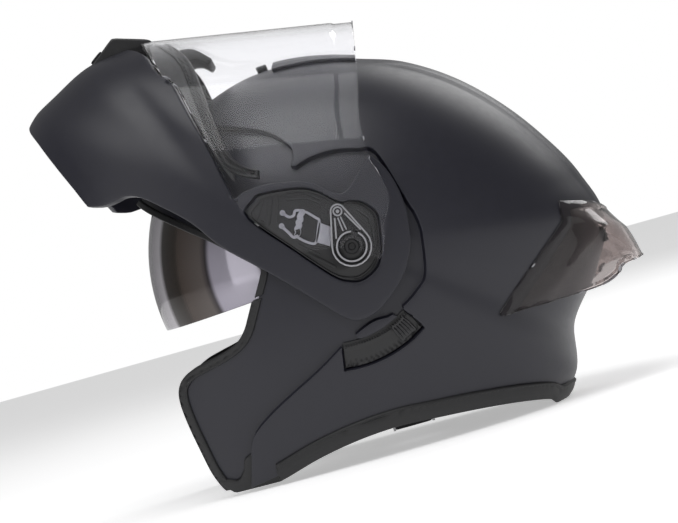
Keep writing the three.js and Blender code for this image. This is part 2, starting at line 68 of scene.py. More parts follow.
camera_data = bpy.data.cameras.new("camera")
camera_data.sensor_width = SENSOR
camera_data.lens = SENSOR * VIEW_DISTANCE / VIEW_WIDTH
camera_data.clip_end = 50
camera = bpy.data.objects.new("camera", camera_data)
bpy.context.scene.collection.objects.link(camera)
aim = Vector((0, HINGE[1] - 0.0098, HINGE[2] - 0.0066))
right = Vector((0, math.cos(WORN_TILT), -math.sin(WORN_TILT)))
up = Vector((0, math.sin(WORN_TILT), math.cos(WORN_TILT)))
back = right.cross(up)
placing = Matrix((right, up, back)).transposed().to_4x4()
placing.translation = aim + back * VIEW_DISTANCE
camera.matrix_world = placing
bpy.context.scene.camera = camera


def area_light(name, place, target, size, watts):
    data = bpy.data.lights.new(name, "AREA")
    data.shape = "RECTANGLE"
    data.size, data.size_y = size
    data.energy = watts
    lamp = bpy.data.objects.new(name, data)
    bpy.context.scene.collection.objects.link(lamp)
    lamp.location = place
    aim_at = Vector(target) - Vector(place)
    lamp.rotation_euler = aim_at.to_track_quat("-Z", "Y").to_euler()
    return lamp


area_light("top_softbox", (0.7, -0.2, 1.5), (0, 0, 0.15), (1.3, 1.3), 15)
area_light("side_softbox", (1.5, -1.3, 0.5), (0, 0, 0.12), (0.7, 1.0), 3)
area_light("back_softbox", (-1.2, 1.0, 1.2), (0, 0, 0.15), (1.2, 1.0), 10)
bpy.context.scene.view_settings.view_transform = "Standard"
SEEN, LIT = 1.0, 0.26            # how bright the backdrop looks, and how much of it lights the helmet
world = bpy.data.worlds.new("studio")
world.use_nodes = True
tree = world.node_tree
glow = tree.nodes["Background"]
glow.inputs["Color"].default_value = (1, 1, 1, 1)
ray = tree.nodes.new("ShaderNodeLightPath")
straight = tree.nodes.new("ShaderNodeMath")
straight.operation = "MAXIMUM"
tree.links.new(ray.outputs["Is Camera Ray"], straight.inputs[0])
tree.links.new(ray.outputs["Is Transmission Ray"], straight.inputs[1])
level = tree.nodes.new("ShaderNodeMapRange")
level.inputs["To Min"].default_value = LIT
level.inputs["To Max"].default_value = SEEN
tree.links.new(straight.outputs[0], level.inputs["Value"])
tree.links.new(level.outputs["Result"], glow.inputs["Strength"])
bpy.context.scene.world = world
print("camera", [round(v, 3) for v in camera.location], "lens", round(camera_data.lens, 1))

# %% [markdown]
# ## Materials
# Each finish is a small node tree on Object coordinates: a base colour, a roughness that varies a
# little, and a fine bump. Moulded and painted surfaces are never one flat value.


# %% Material helpers
def finish(name, color, roughness, metallic=0.0, grain=900.0, bump=0.02, vary=0.12, **sockets):
    """A procedural surface: noise moves its tone and roughness, and a finer noise is its bump."""
    made = bpy.data.materials.new(name)
    made.use_nodes = True
    nodes, links = made.node_tree.nodes, made.node_tree.links
    shader = nodes["Principled BSDF"]
    place = nodes.new("ShaderNodeTexCoord")
    cloud = nodes.new("ShaderNodeTexNoise")
    cloud.inputs["Scale"].default_value = grain / 12
    cloud.inputs["Detail"].default_value = 4
    links.new(place.outputs["Object"], cloud.inputs["Vector"])
    tone = nodes.new("ShaderNodeValToRGB")
    tone.color_ramp.elements[0].position = 0.3
    tone.color_ramp.elements[1].position = 0.7
    tone.color_ramp.elements[0].color = (*[c * (1 - vary) for c in color], 1)
    tone.color_ramp.elements[1].color = (*[min(1, c * (1 + vary)) for c in color], 1)
    links.new(cloud.outputs["Fac"], tone.inputs["Fac"])
    links.new(tone.outputs["Color"], shader.inputs["Base Color"])
    rough = nodes.new("ShaderNodeMapRange")
    rough.inputs["To Min"].default_value = max(0, roughness - 0.05)
    rough.inputs["To Max"].default_value = min(1, roughness + 0.05)
    links.new(cloud.outputs["Fac"], rough.inputs["Value"])
    links.new(rough.outputs["Result"], shader.inputs["Roughness"])
    fine = nodes.new("ShaderNodeTexNoise")
    fine.inputs["Scale"].default_value = grain
    fine.inputs["Detail"].default_value = 3
    links.new(place.outputs["Object"], fine.inputs["Vector"])
    relief = nodes.new("ShaderNodeBump")
    relief.inputs["Strength"].default_value = 1.0
    relief.inputs["Distance"].default_value = bump * MM
    links.new(fine.outputs["Fac"], relief.inputs["Height"])
    links.new(relief.outputs["Normal"], shader.inputs["Normal"])
    shader.inputs["Metallic"].default_value = metallic
    for socket, value in sockets.items():
        shader.inputs[socket.replace("_", " ")].default_value = value
    return made


shell_paint = finish("satin_black_lacquer", (0.010, 0.010, 0.017), 0.42, grain=2600, bump=0.010, vary=0.05)
rubber = finish("black_rubber", (0.008, 0.008, 0.009), 0.55, grain=1800, bump=0.03)
moulded = finish("moulded_black_plastic", (0.007, 0.007, 0.008), 0.38, grain=1500, bump=0.015)
gloss_plastic = finish("gloss_black_plastic", (0.006, 0.006, 0.008), 0.18, grain=600, bump=0.004)
steel = finish("stamped_steel", (0.42, 0.42, 0.43), 0.3, metallic=1.0, grain=1200, bump=0.01)
grey_acetal = finish("grey_acetal", (0.30, 0.30, 0.33), 0.34, grain=1500, bump=0.01)
foam = finish("expanded_foam", (0.020, 0.020, 0.022), 0.9, grain=420, bump=0.25)
lining = finish("brushed_lining", (0.016, 0.016, 0.018), 0.95, grain=2200, bump=0.15, Sheen_Weight=0.35)
webbing = finish("woven_webbing", (0.014, 0.014, 0.016), 0.85, grain=1400, bump=0.1, Sheen_Weight=0.2)
clear = finish("clear_polycarbonate", (0.975, 0.975, 0.99), 0.05, grain=500, bump=0.0, vary=0.005,
               Transmission_Weight=1.0, IOR=1.22)
# A paler, half clear finish: painted highlight for the bright lines that clear edges catch.
painted_highlight_clear = finish("clear_moulding_painted_highlight", (0.50, 0.50, 0.53), 0.2, grain=500, bump=0.002, vary=0.03,
                     Transmission_Weight=0.45, IOR=1.45)
smoke = finish("smoke_polycarbonate", (0.50, 0.45, 0.44), 0.06, grain=500, bump=0.0, vary=0.01,
               Transmission_Weight=1.0, IOR=1.35)
mirror_smoke = finish("mirrored_smoke", (0.13, 0.10, 0.10), 0.09, metallic=0.35, grain=400, bump=0.0,
                      vary=0.03)


def paint_reflection_bands(made):
    """Painted reflection: bands of tone from the middle plane to the sides, set by lateral distance."""
    nodes, links = made.node_tree.nodes, made.node_tree.links
    place = nodes.new("ShaderNodeTexCoord")
    split = nodes.new("ShaderNodeSeparateXYZ")
    links.new(place.outputs["Object"], split.inputs["Vector"])
    lateral = nodes.new("ShaderNodeMath")
    lateral.operation = "ABSOLUTE"
    links.new(split.outputs["X"], lateral.inputs[0])
    reach = nodes.new("ShaderNodeMapRange")
    reach.inputs["From Max"].default_value = 0.12
    links.new(lateral.outputs[0], reach.inputs["Value"])
    painted_reflection = nodes.new("ShaderNodeValToRGB")
    reflection_bands = [(0.0, (0.12, 0.11, 0.12)), (0.30, (0.20, 0.19, 0.21)), (0.45, (0.42, 0.40, 0.43)),
             (0.49, (0.012, 0.008, 0.006)), (0.595, (0.020, 0.014, 0.010)), (0.625, (0.060, 0.045, 0.038)),
             (0.73, (0.10, 0.085, 0.08)), (0.752, (0.03, 0.025, 0.03)), (0.765, (0.34, 0.32, 0.38)),
             (0.95, (0.46, 0.44, 0.50))]
    ramp = painted_reflection.color_ramp
    while len(ramp.elements) < len(reflection_bands):
        ramp.elements.new(0.5)
    for element, (spot, tone) in zip(ramp.elements, reflection_bands):
        element.position = spot
        element.color = (*tone, 1)
    links.new(reach.outputs["Result"], painted_reflection.inputs["Fac"])
    links.new(painted_reflection.outputs["Color"], nodes["Principled BSDF"].inputs["Base Color"])


# Painted reflection: bands of tone on the sun shield's mirror coat.
paint_reflection_bands(mirror_smoke)
print("finishes", len(bpy.data.materials))

# %% [markdown]
# ## The surface family
# A slice through the hinge axis is a superellipse that runs from the ear to the middle plane. The
# middle plane's outline is a radius by direction. A point is named by its direction round the axis and
# by how far it has climbed from the middle plane to the ear, so any piece of wall can be made in those
# two numbers and then lifted to its place.


# %% Skins
def radius_curve(pairs):
    """A smooth closed curve through (direction in degrees, radius in millimetres) pairs."""
    angles = np.array([p[0] for p in pairs], float)
    radii = np.array([p[1] for p in pairs], float)
    angles = np.concatenate([angles[-2:] - 360, angles, angles[:3] + 360])
    radii = np.concatenate([radii[-2:], radii, radii[:3]])

    def at(direction):
        first = angles[2]
        turned = (np.degrees(direction) - first) % 360 + first
        i = np.clip(np.searchsorted(angles, turned, side="right") - 1, 1, len(angles) - 3)
        a0, a1, a2, a3 = angles[i - 1], angles[i], angles[i + 1], angles[i + 2]
        r0, r1, r2, r3 = radii[i - 1], radii[i], radii[i + 1], radii[i + 2]
        t = (turned - a1) / (a2 - a1)
        s1 = (r2 - r0) / (a2 - a0) * (a2 - a1)
        s2 = (r3 - r1) / (a3 - a1) * (a2 - a1)
        return ((2 * t**3 - 3 * t**2 + 1) * r1 + (t**3 - 2 * t**2 + t) * s1
                + (3 * t**2 - 2 * t**3) * r2 + (t**3 - t**2) * s2)

    return at


class Skin:
    """Points on a superellipse family; offsets are millimetres outwards. y and z are from the hinge."""

    def __init__(self, half_width, radius, axis=(0.0, 0.0), squareness=2.4):
        self.half_width = half_width
        self.radius = radius
        self.axis = axis
        self.power = 2 / squareness

    def point(self, direction, climb, offset=0.0):
        side = np.abs(np.sin(climb)) ** self.power * np.sign(climb)
        reach = np.cos(climb).clip(0) ** self.power * (self.radius(direction) + offset)
        return np.stack([side * (self.half_width + offset), self.axis[0] + reach * np.cos(direction),
                         self.axis[1] + reach * np.sin(direction)], -1)


SHELL_CURVE = [(-45, 164), (-34, 150), (-20, 157), (-8, 162), (2, 152), (15, 139.5), (30, 130), (45, 124.3),
               (60, 121), (75, 120.2), (90, 122), (105, 126), (120, 129.5), (135, 134), (150, 140),
               (165, 154), (180, 170), (200, 190), (220, 205), (240, 200), (260, 184), (285, 170)]
CHIN_CURVE = [(60, 165), (100, 171), (112, 177), (118, 182), (124, 192), (130, 203), (137, 211),
              (143.5, 219.5), (150, 222), (165, 222), (190, 215), (230, 208), (280, 190), (330, 175)]
VISOR_DISTANCE = 143.3
VISOR_WALL = 2.2
VISOR_FACING = math.radians(80.2)


def visor_radius(direction):
    away = np.abs((direction - VISOR_FACING + math.pi) % (2 * math.pi) - math.pi)
    return VISOR_DISTANCE / np.cos(np.minimum(away, math.radians(55)))


shell_skin = Skin(121, radius_curve(SHELL_CURVE))
chin_skin = Skin(122, radius_curve(CHIN_CURVE))
visor_skin = Skin(126.2, visor_radius)
sun_axis = ((SUN_PIN - HINGE) / MM)[1:]
sun_skin = Skin(109, lambda direction: np.full_like(direction, 116.0), axis=tuple(sun_axis))
print("crown height above the hinge",
      round(float(shell_skin.point(np.array([1.57]), np.array([0.0]))[0, 2]), 1))

# %% [markdown]
# ## Outlines
# A panel's edge is drawn in side view, as a flat outline, and it cuts straight through from left to
# right. Inside is positive. Points are smoothed with a Catmull-Rom curve, and a point given twice
# stays a sharp corner.


# %% Outline helpers
def smooth(points, steps=6, closed=True):
    pts = [np.array(p, float) for p in points]
    out = []
    count = len(pts)
    for i in range(count if closed else count - 1):
        p0 = pts[(i - 1) % count] if closed or i > 0 else pts[0]
        p1, p2 = pts[i], pts[(i + 1) % count]
        p3 = pts[(i + 2) % count] if closed or i + 2 < count else p2
        if np.allclose(p1, p2):
            continue
        t = np.arange(steps)[:, None] / steps
        out.append(0.5 * (2 * p1 + (p2 - p0) * t + (2 * p0 - 5 * p1 + 4 * p2 - p3) * t**2
                          + (3 * p1 - p0 - 3 * p2 + p3) * t**3))
    if not closed:
        out.append(pts[-1][None])
    return np.concatenate(out)


def inside(outline):
    """Signed distance to a closed outline in y and z, as a function of points."""
    ring = np.asarray(outline, float)
    a, b = ring, np.roll(ring, -1, 0)
    span = b - a
    length2 = (span**2).sum(1) + 1e-12

    def at(points):
        flat = points[..., 1:].reshape(-1, 2)
        best = np.full(len(flat), 1e9)
        parity = np.zeros(len(flat), bool)
        for (a0, s, l2, b0) in zip(a, span, length2, b):
            t = np.clip(((flat - a0) @ s) / l2, 0, 1)
            best = np.minimum(best, ((flat - a0 - t[:, None] * s) ** 2).sum(1))
            hit = (a0[1] > flat[:, 1]) != (b0[1] > flat[:, 1])
            if hit.any():
                cross = a0[0] + (flat[:, 1] - a0[1]) * s[0] / (s[1] if abs(s[1]) > 1e-9 else 1e-9)
                parity ^= hit & (flat[:, 0] < cross)
        distance = np.sqrt(best)
        return np.where(parity, distance, -distance).reshape(points.shape[:-1])

    return at


def outside(field):
    return lambda points: -field(points)


def both(*fields):
    return lambda points: np.minimum.reduce([field(points) for field in fields])


def either(*fields):
    return lambda points: np.maximum.reduce([field(points) for field in fields])


def band(field, low, high):
    """Between two distances from another field's edge."""
    return lambda points: np.minimum(field(points) - low, high - field(points))


def left_half(points):
    return points[..., 0]


def within(limit):
    """Within this many millimetres of the middle plane."""
    return lambda points: limit - np.abs(points[..., 0])


def away_from(centre, radius):
    return lambda points: np.hypot(points[..., 1] - centre[0], points[..., 2] - centre[1]) - radius


print("outline helpers ready")

# %% [markdown]
# ## Panels
# A panel starts as an even grid on a skin. Grid points close to the edge are moved onto it, cells that
# still cross it are cut, and what lies outside is dropped. The edge is then rolled over a small radius
# and carried down to an inner face, so each panel is one closed wall with rounded rims.


# %% Panel maker
class Grid:
    """Faces over points that are named by direction and climb on a skin.

    turn is the stretch of directions in degrees, and side is the stretch of x in millimetres."""

    def __init__(self, skin, spacing, turn=(0, 360), side=None):
        self.skin = skin
        reach = float(np.mean(skin.radius(np.radians(np.arange(0, 360, 5.0)))))
        fine = np.linspace(0, math.pi / 2, 600)
        flat = np.stack([skin.half_width * np.sin(fine) ** skin.power, reach * np.cos(fine) ** skin.power], 1)
        run = np.concatenate([[0], np.cumsum(np.hypot(*np.diff(flat, axis=0).T))])
        rows = int(run[-1] / spacing)
        climbs = np.interp(np.linspace(0, run[-1], rows + 1), run, fine)
        climbs = np.concatenate([-climbs[:0:-1], climbs])
        if side:
            wide = skin.half_width * np.abs(np.sin(climbs)) ** skin.power * np.sign(climbs)
            climbs = climbs[(wide >= side[0]) & (wide <= side[1])]
        whole = turn[1] - turn[0] >= 360
        columns = int(math.radians(turn[1] - turn[0]) * reach / spacing)
        ring = np.radians(np.linspace(turn[0], turn[1], columns + (not whole), endpoint=not whole))
        pole = np.abs(np.abs(climbs) - math.pi / 2) < 1e-6
        across = len(ring)
        uv, first = [], []
        for climb, at_pole in zip(climbs, pole):
            first.append(len(uv))
            uv += [(turned, climb) for turned in (ring[:1] if at_pole else ring)]
        self.uv = np.array(uv)
        self.faces = []
        for j in range(len(climbs) - 1):
            low, high = first[j], first[j + 1]
            for i in range(across if whole else across - 1):
                k = (i + 1) % across
                if pole[j]:
                    self.faces.append([low, high + k, high + i])
                elif pole[j + 1]:
                    self.faces.append([low + i, low + k, high])
                else:
                    self.faces.append([low + i, low + k, high + k, high + i])

    def at(self, uv, offset=0.0):
        return self.skin.point(uv[:, 0], uv[:, 1], offset)

    def uphill(self, uv, field):
        """The way in which the field grows fastest, in grid numbers for one millimetre of surface."""
        step = 1e-4
        here = self.at(uv)
        f0 = field(here)
        du, dv = uv + [step, 0], uv + [0, step]
        pu, pv = (self.at(du) - here) / step, (self.at(dv) - here) / step
        fu, fv = (field(self.at(du)) - f0) / step, (field(self.at(dv)) - f0) / step
        e, f, g = (pu * pu).sum(1), (pu * pv).sum(1), (pv * pv).sum(1)
        det = np.maximum(e * g - f * f, 1e-9)
        way = np.stack([(g * fu - f * fv) / det, (e * fv - f * fu) / det], 1)
        speed = np.sqrt(np.maximum(way[:, 0] * fu + way[:, 1] * fv, 1e-12))
        return way / speed[:, None], f0, speed

    def cut(self, field, spacing, keep=True):
        """Fits the grid to the field's zero line. Returns a label for each face: True inside."""
        spots = np.array(sorted({i for face in self.faces for i in face}))
        value = np.zeros(len(self.uv))
        value[spots] = field(self.at(self.uv[spots]))
        close = spots[np.abs(value[spots]) < 2 * spacing]
        for _ in range(2):
            way, here, speed = self.uphill(self.uv[close], field)
            near = np.abs(here) < 0.36 * spacing * np.maximum(speed, 0.3)
            move = np.where(near, -here / np.maximum(speed, 0.3), 0)
            self.uv[close] += way * move[:, None]
        value[close] = field(self.at(self.uv[close]))
        value[np.abs(value) < 0.05] = 0
        points = list(map(tuple, self.uv))
        made = {}

        def crossing(a, b):
            key = (min(a, b), max(a, b))
            if key not in made:
                ua, ub = np.array(points[key[0]]), np.array(points[key[1]])
                if abs(abs(ua[1]) - math.pi / 2) < 1e-6:
                    ua[0] = ub[0]
                if abs(abs(ub[1]) - math.pi / 2) < 1e-6:
                    ub[0] = ua[0]
                if ua[0] - ub[0] > math.pi:
                    ub[0] += 2 * math.pi
                if ub[0] - ua[0] > math.pi:
                    ua[0] += 2 * math.pi
                low, high = value[key[0]], value[key[1]]
                made[key] = len(points)
                points.append(tuple(ua + (ub - ua) * (low / (low - high))))
            return made[key]

        faces, labels = [], []
        for face in self.faces:
            values = value[face]
            if (values >= 0).all() and (values > 0).any():
                faces.append(face)
                labels.append(True)
            elif (values <= 0).all():
                faces.append(face)
                labels.append(False)
            else:
                halves = {True: [], False: []}
                for n, a in enumerate(face):
                    b = face[(n + 1) % len(face)]
                    va, vb = value[a], value[b]
                    if va >= 0:
                        halves[True].append(a)
                    if va <= 0:
                        halves[False].append(a)
                    if va * vb < 0:
                        c = crossing(a, b)
                        halves[True].append(c)
                        halves[False].append(c)
                for label, half in halves.items():
                    if len(half) > 2:
                        faces.append(half)
                        labels.append(label)
        self.uv = np.array(points)
        if keep:
            self.faces = [f for f, label in zip(faces, labels) if label]
            return None
        self.faces = faces
        return labels

    def rims(self, faces):
        """Directed edges that one face alone uses."""
        edges = {}
        for face in faces:
            for n, a in enumerate(face):
                edges[(a, face[(n + 1) % len(face)])] = True
        return [(a, b) for (a, b) in edges if (b, a) not in edges]


def to_object(name, points, faces, material, body, slot=None, smooth_angle=38):
    """Points in millimetres from the hinge become a mesh object in metres that rides on a body."""
    mesh = bpy.data.meshes.new(name)
    place = np.asarray(points) * MM + HINGE * [0, 1, 1]
    place[:, 2] = np.maximum(place[:, 2], 0)
    mesh.from_pydata(place.tolist(), [], [list(map(int, f)) for f in faces])
    mesh.materials.append(material)
    clean = bmesh.new()
    clean.from_mesh(mesh)
    bmesh.ops.remove_doubles(clean, verts=clean.verts, dist=2e-6)
    bmesh.ops.dissolve_degenerate(clean, edges=clean.edges, dist=2e-6)
    gaps = [edge for edge in clean.edges if edge.is_boundary]
    if gaps:
        bmesh.ops.holes_fill(clean, edges=gaps)
    bmesh.ops.recalc_face_normals(clean, faces=clean.faces)
    open_edges = sum(1 for edge in clean.edges if not edge.is_manifold)
    if clean.calc_volume(signed=True) < 0:
        bmesh.ops.reverse_faces(clean, faces=clean.faces)
    clean.to_mesh(mesh)
    clean.free()
    mesh.shade_smooth()
    mesh.set_sharp_from_angle(angle=math.radians(smooth_angle))
    made = bpy.data.objects.new(name, mesh)
    bpy.context.scene.collection.objects.link(made)
    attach(made, body)
    print(f"{name}: {len(mesh.polygons)} faces, {open_edges} open edges")
    return made


def wall_of(skin, field, wall, spacing=3.0, roll=0.7, relief=None, seat=None, seat_depth=0.0, lift=0.0,
            turn=(0, 360), side=None):
    """A closed wall cut from a skin. seat is a field inside which the outer face drops by seat_depth.

    wall is a thickness, or a function that gives the inner face's depth at each point."""
    grid = Grid(skin, spacing, turn, side)
    grid.cut(field, spacing)
    labels = [False] * len(grid.faces)
    if seat is not None:
        labels = grid.cut(seat, spacing, keep=False)
    steps = 4
    points, faces = [], []

    def level(uv, depth, base):
        rise = relief(grid.at(base, lift)) if relief is not None else 0.0
        return grid.skin.point(uv[:, 0], uv[:, 1], lift - depth + rise)

    def put(array):
        start = len(points)
        points.extend(array.tolist())
        return start

    def strip(rims, low, high, order_low, order_high):
        for a, b in rims:
            faces.append([low + order_low[a], low + order_low[b], high + order_high[b], high + order_high[a]])

    groups = {}
    for label in sorted(set(labels)):
        members = [f for f, mark in zip(grid.faces, labels) if mark == label]
        groups[label] = members
    outer_rims = set(grid.rims(grid.faces))
    tops = {}
    for label, members in groups.items():
        used = sorted({i for f in members for i in f})
        order = {v: n for n, v in enumerate(used)}
        uv = grid.uv[used].copy()
        rims = grid.rims(members)
        outer = [e for e in rims if e in outer_rims]
        step_edges = [e for e in rims if e not in outer_rims]
        depth = np.full(len(used), seat_depth if label else 0.0)
        base = uv.copy()
        rim_spots = sorted({order[v] for e in outer for v in e})
        step_spots = sorted({order[v] for e in step_edges for v in e})
        ways = np.zeros_like(uv)
        if rim_spots:
            ways[rim_spots] += grid.uphill(base[rim_spots], field)[0]
        uv = base + ways * roll
        step_ways = np.zeros_like(uv)
        if step_spots:
            sign = 1 if label else -1
            step_ways[step_spots] = grid.uphill(base[step_spots], seat)[0] * sign
            uv[step_spots] += step_ways[step_spots] * roll
        start = put(level(uv, depth, base))
        faces.extend([[start + order[i] for i in f] for f in members])
        tops[label] = (start, order, base, ways, step_ways, depth, members)
        previous = start
        for k in range(1, steps + 1):
            bend = math.pi / 2 * k / steps
            ring_uv = base + ways * roll * (1 - math.sin(bend)) + step_ways * roll
            ring = put(level(ring_uv, depth + roll * (1 - math.cos(bend)), base))
            strip([(b, a) for a, b in outer], previous, ring, order, order)
            previous = ring
        if callable(wall):
            bottoms_depth = wall(grid.at(base, lift))
        else:
            bottoms_depth = np.full(len(used), wall + (seat_depth if seat is not None else 0.0))
        for k in range(steps, -1, -1):
            bend = math.pi / 2 * k / steps
            ring_uv = base + ways * roll * (1 - math.sin(bend)) + step_ways * roll
            ring = put(level(ring_uv, bottoms_depth - roll * (1 - math.cos(bend)), base))
            strip([(b, a) for a, b in outer], previous, ring, order, order)
            previous = ring
        faces.extend([[previous + order[i] for i in reversed(f)] for f in members])
        tops[label] += (previous,)
    if len(groups) == 2:
        s0, o0, base0, _, way0, d0, _, in0 = tops[False]
        s1, o1, base1, _, way1, d1, m1, in1 = tops[True]
        rims = [e for e in grid.rims(m1) if e not in outer_rims]
        previous, order = s1, o1
        for k in range(1, steps + 1):
            bend = math.pi / 2 * k / steps
            ring = put(level(base1 + way1 * roll * (1 - math.sin(bend)), d1 - roll * (1 - math.cos(bend)),
                             base1))
            strip([(b, a) for a, b in rims], previous, ring, o1, o1)
            previous = ring
        for k in range(steps, 0, -1):
            bend = math.pi / 2 * k / steps
            ring = put(level(base0 + way0 * roll * (1 - math.sin(bend)), d0 + roll * (1 - math.cos(bend)),
                             base0))
            strip([(b, a) for a, b in rims], previous, ring, o1 if k == steps else o0, o0)
            previous = ring
        strip([(b, a) for a, b in rims], previous, s0, o0, o0)
        strip(rims, in1, in0, o1, o0)
    return np.array(points), faces


def panel(name, skin, field, wall, material, body, slot, replaced=(), **options):
    """One wall as an object that stands for CAD nodes."""
    points, faces = wall_of(skin, field, wall, **options)
    made = to_object(name, points, faces, material, body, slot)
    if replaced:
        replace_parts(made, *replaced)
    return made


def pair(name, points, faces, material, body, slot, node=None, each_body=False):
    """A left-hand piece and its mirror image. node is the CAD node's name without its side."""
    made = []
    for side_name, flip in (("left", 1), ("right", -1)):
        turned = faces if flip > 0 else [face[::-1] for face in faces]
        rides = f"{body}_{side_name}" if each_body else body
        piece = to_object(f"{name}_{side_name}", np.array(points) * [flip, 1, 1], turned, material, rides,
                          slot)
        if node:
            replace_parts(piece, f"{node}_{side_name}")
        made.append(piece)
    return made


print("panel maker ready")

# %% [markdown]
# ## Outer shell
# On the real helmet this is one moulding of ABS. It is cut open for the face, cut along the rim, and a
# seat is let into both sides for the raised chin bar's arms. The seat's edge is a step with a rolled
# top and a filleted foot, so it catches light as a double line.

# %% Outer shell
FACE = [(-150, 90), (-133, 74), (-117, 57), (-99, 41.5), (-81, 27), (-66, 13), (-57, 4.5), (-55.5, 1),
        (-57.5, -4), (-63.5, -14.5), (-70, -26), (-75, -34), (-82, -40.5), (-93, -45), (-106, -48),
        (-117, -51), (-123, -56), (-125, -64), (-124, -78), (-121, -97), (-118.5, -111), (-115, -121),
        (-112, -126), (-109, -133)]
RIM_LINE = [(-112, -128), (-99, -128), (-78, -124.5), (-53, -117.5), (-27, -113), (-1, -111.4), (24, -113),
            (49, -115.2), (73, -118.5), (92, -123), (99, -128), (125, -128)]
SEAT = [(-170, 118), (-130, 112), (-95, 105), (-67, 96.5), (-48, 89), (-33, 82), (-24.6, 75), (-19.5, 68),
        (-19.5, 62), (-22, 57)]
SEAT_FOOT = [(-20, -55.5), (-38, -66), (-57, -75.5), (-74, -84.5), (-87, -93.5), (-91.5, -101), (-94, -110),
             (-99.5, -128), (-105, -150), (-220, -150), (-220, -150), (-220, 118), (-220, 118)]
SEAT_DEPTH = 4.5


def swing(radius, start, stop, steps):
    return [(radius * math.cos(math.radians(a)), radius * math.sin(math.radians(a)))
            for a in np.linspace(start, stop, steps)]


def rim_field(rise):
    line = smooth([(y, z + rise) for y, z in RIM_LINE], closed=False)
    return inside(np.concatenate([[(-230, -128 + rise)], line,
                                  [(230, -128 + rise), (230, 260), (-230, 260)]]))


face_line = smooth(FACE, closed=False)
face_field = outside(inside(np.concatenate([face_line, [(-109, -170), (-260, -170), (-260, 90)]])))
seat_line = smooth(SEAT + swing(59, 112, 60, 6) + swing(43, 24, -8, 4) + swing(47.5, -36, -92, 5) + SEAT_FOOT)
seat_field = inside(seat_line)
pin_hole = away_from((0, 0), 4.4)


def sector(inner, outer, start, stop, steps=12):
    """An arc shaped strip round the sun shield's pivot."""
    def at(radius, turn):
        angle = math.radians(turn)
        return (sun_axis[0] + radius * math.cos(angle), sun_axis[1] + radius * math.sin(angle))
    turns = np.linspace(start, stop, steps)
    return [at(outer, t) for t in turns] + [at(inner, t) for t in turns[::-1]]


channel_field = both(inside(sector(57, 74, -99, -55)), left_half)


def spine_relief(points):
    """A raised spine runs from the crown to the back, with soft shoulders."""
    x, y, z = points[..., 0], points[..., 1], points[..., 2]
    along = np.degrees(np.arctan2(z, y))
    width = 50 - 6 * np.cos(np.radians(along))
    side = np.clip((width - np.abs(x)) / 5 + 0.5, 0, 1)
    run = np.clip((72 - along) / 14, 0, 1) * np.clip((along + 12) / 20, 0, 1)
    ease = side * side * (3 - 2 * side)
    return 1.6 * ease * run * run * (3 - 2 * run)


FULL_WALL = 3.4 + SEAT_DEPTH      # from the skin down to the inner face
THIN_WALL = 3.5                   # the same over the retracted sun shield
THIN_BESIDE_SEAT = 2.6            # added to that where the seat lies above it
SUN_PATH = [(-30, 2), (-120, 10), (-190, 8), (-190, 200), (-8, 200), (-10, 150), (-12, 40), (-20, 35)]
sun_path = inside(SUN_PATH)


def shell_wall(points):
    """The wall is thinner in the fan that the sun shield turns up into."""
    path = np.clip(sun_path(points) / 4 + 0.5, 0, 1)
    beside_seat = np.clip((seat_field(points) + 4) / 1.5, 0, 1)
    thin = THIN_WALL + THIN_BESIDE_SEAT * beside_seat
    return FULL_WALL + (thin - FULL_WALL) * path


panel("outer_shell_wall", shell_skin, both(face_field, rim_field(3), pin_hole), shell_wall, shell_paint,
      "shell", "shell_paint", ["outer_shell"], spacing=3.2, roll=0.6, relief=spine_relief,
      seat=either(seat_field, channel_field), seat_depth=SEAT_DEPTH)

# %% [markdown]
# ## Chin bar
# The chin bar is a second moulding on its own skin. Its lower edge, its ear lobes and the window for
# the visor's mechanism are one outline. The window is a shallow pocket, so it is a seat too.

# %% Chin bar
VISOR_LOW = [(-84.8, 133.5), (-78, 126), (-71.7, 100.5), (-65, 73.5), (-59.7, 44), (-54.3, 35.5),
             (-33.3, 9.7), (-14.6, -12.3), (-7, -18), (1.5, -19.3), (11.6, -14)]
CHIN_LOW = [(-177, 129), (-170.5, 113.5), (-160.5, 91.8), (-148.5, 66.8), (-148.5, 66.8), (-140, 64.6),
            (-132.5, 65.0), (-124, 66.2), (-115, 63), (-103.5, 53.5), (-89, 39.5), (-76, 21.5), (-55, 1),
            (-33, -21.5), (-17.5, -38), (-9, -43.5), (2, -42.5), (12.5, -36.5), (25.5, -24.5), (34, -9.5),
            (36, 0), (37.5, 12), (36.5, 25), (33, 38), (27, 48), (24, 50)]
CHIN_TOP = [(18, 44), (12, 38), (4, 32.5), (-4, 36), (-14, 44), (-28, 48), (-43, 50), (-57, 48), (-60.3, 44),
            (-66, 73), (-72.5, 100.5), (-79, 126), (-85.6, 133.5), (-89.5, 146), (-96, 154), (-104, 159),
            (-114, 161.5), (-132, 156), (-138, 153), (-153, 146), (-169, 138)]
POCKET = [(-50, 42.5), (-43, 45), (-17, 41), (0, 27.5), (6, 27), (14, 23.5), (20, 15), (19, 4), (16.5, -7),
          (11.6, -16), (1.5, -21.3), (-7, -20), (-16, -14), (-35, 8), (-56, 34)]

chin_line = smooth(CHIN_LOW + CHIN_TOP)
chin_field = inside(chin_line)
pocket_field = inside(smooth(POCKET))


def chin_relief(points):
    """A soft valley runs down in front of the visor's edge, and a facet runs inside the lower edge."""
    y, z = points[..., 1], points[..., 2]
    beside = ((y + 97) * 0.88 + (z - 112) * 0.42)
    fade = np.clip((z - 40) / 50, 0, 1) * np.clip((155 - z) / 30, 0, 1)
    facet = np.clip(1 - ((y + 148.5) * 0.909 + (z - 66.8) * 0.416) / 11, 0, 1) * np.clip((z - 60) / 20, 0, 1)
    return fade * (-1.7 * np.exp(-(beside / 8) ** 2) + 0.8 * np.exp(-((beside - 15) / 10) ** 2)) - 1.3 * facet


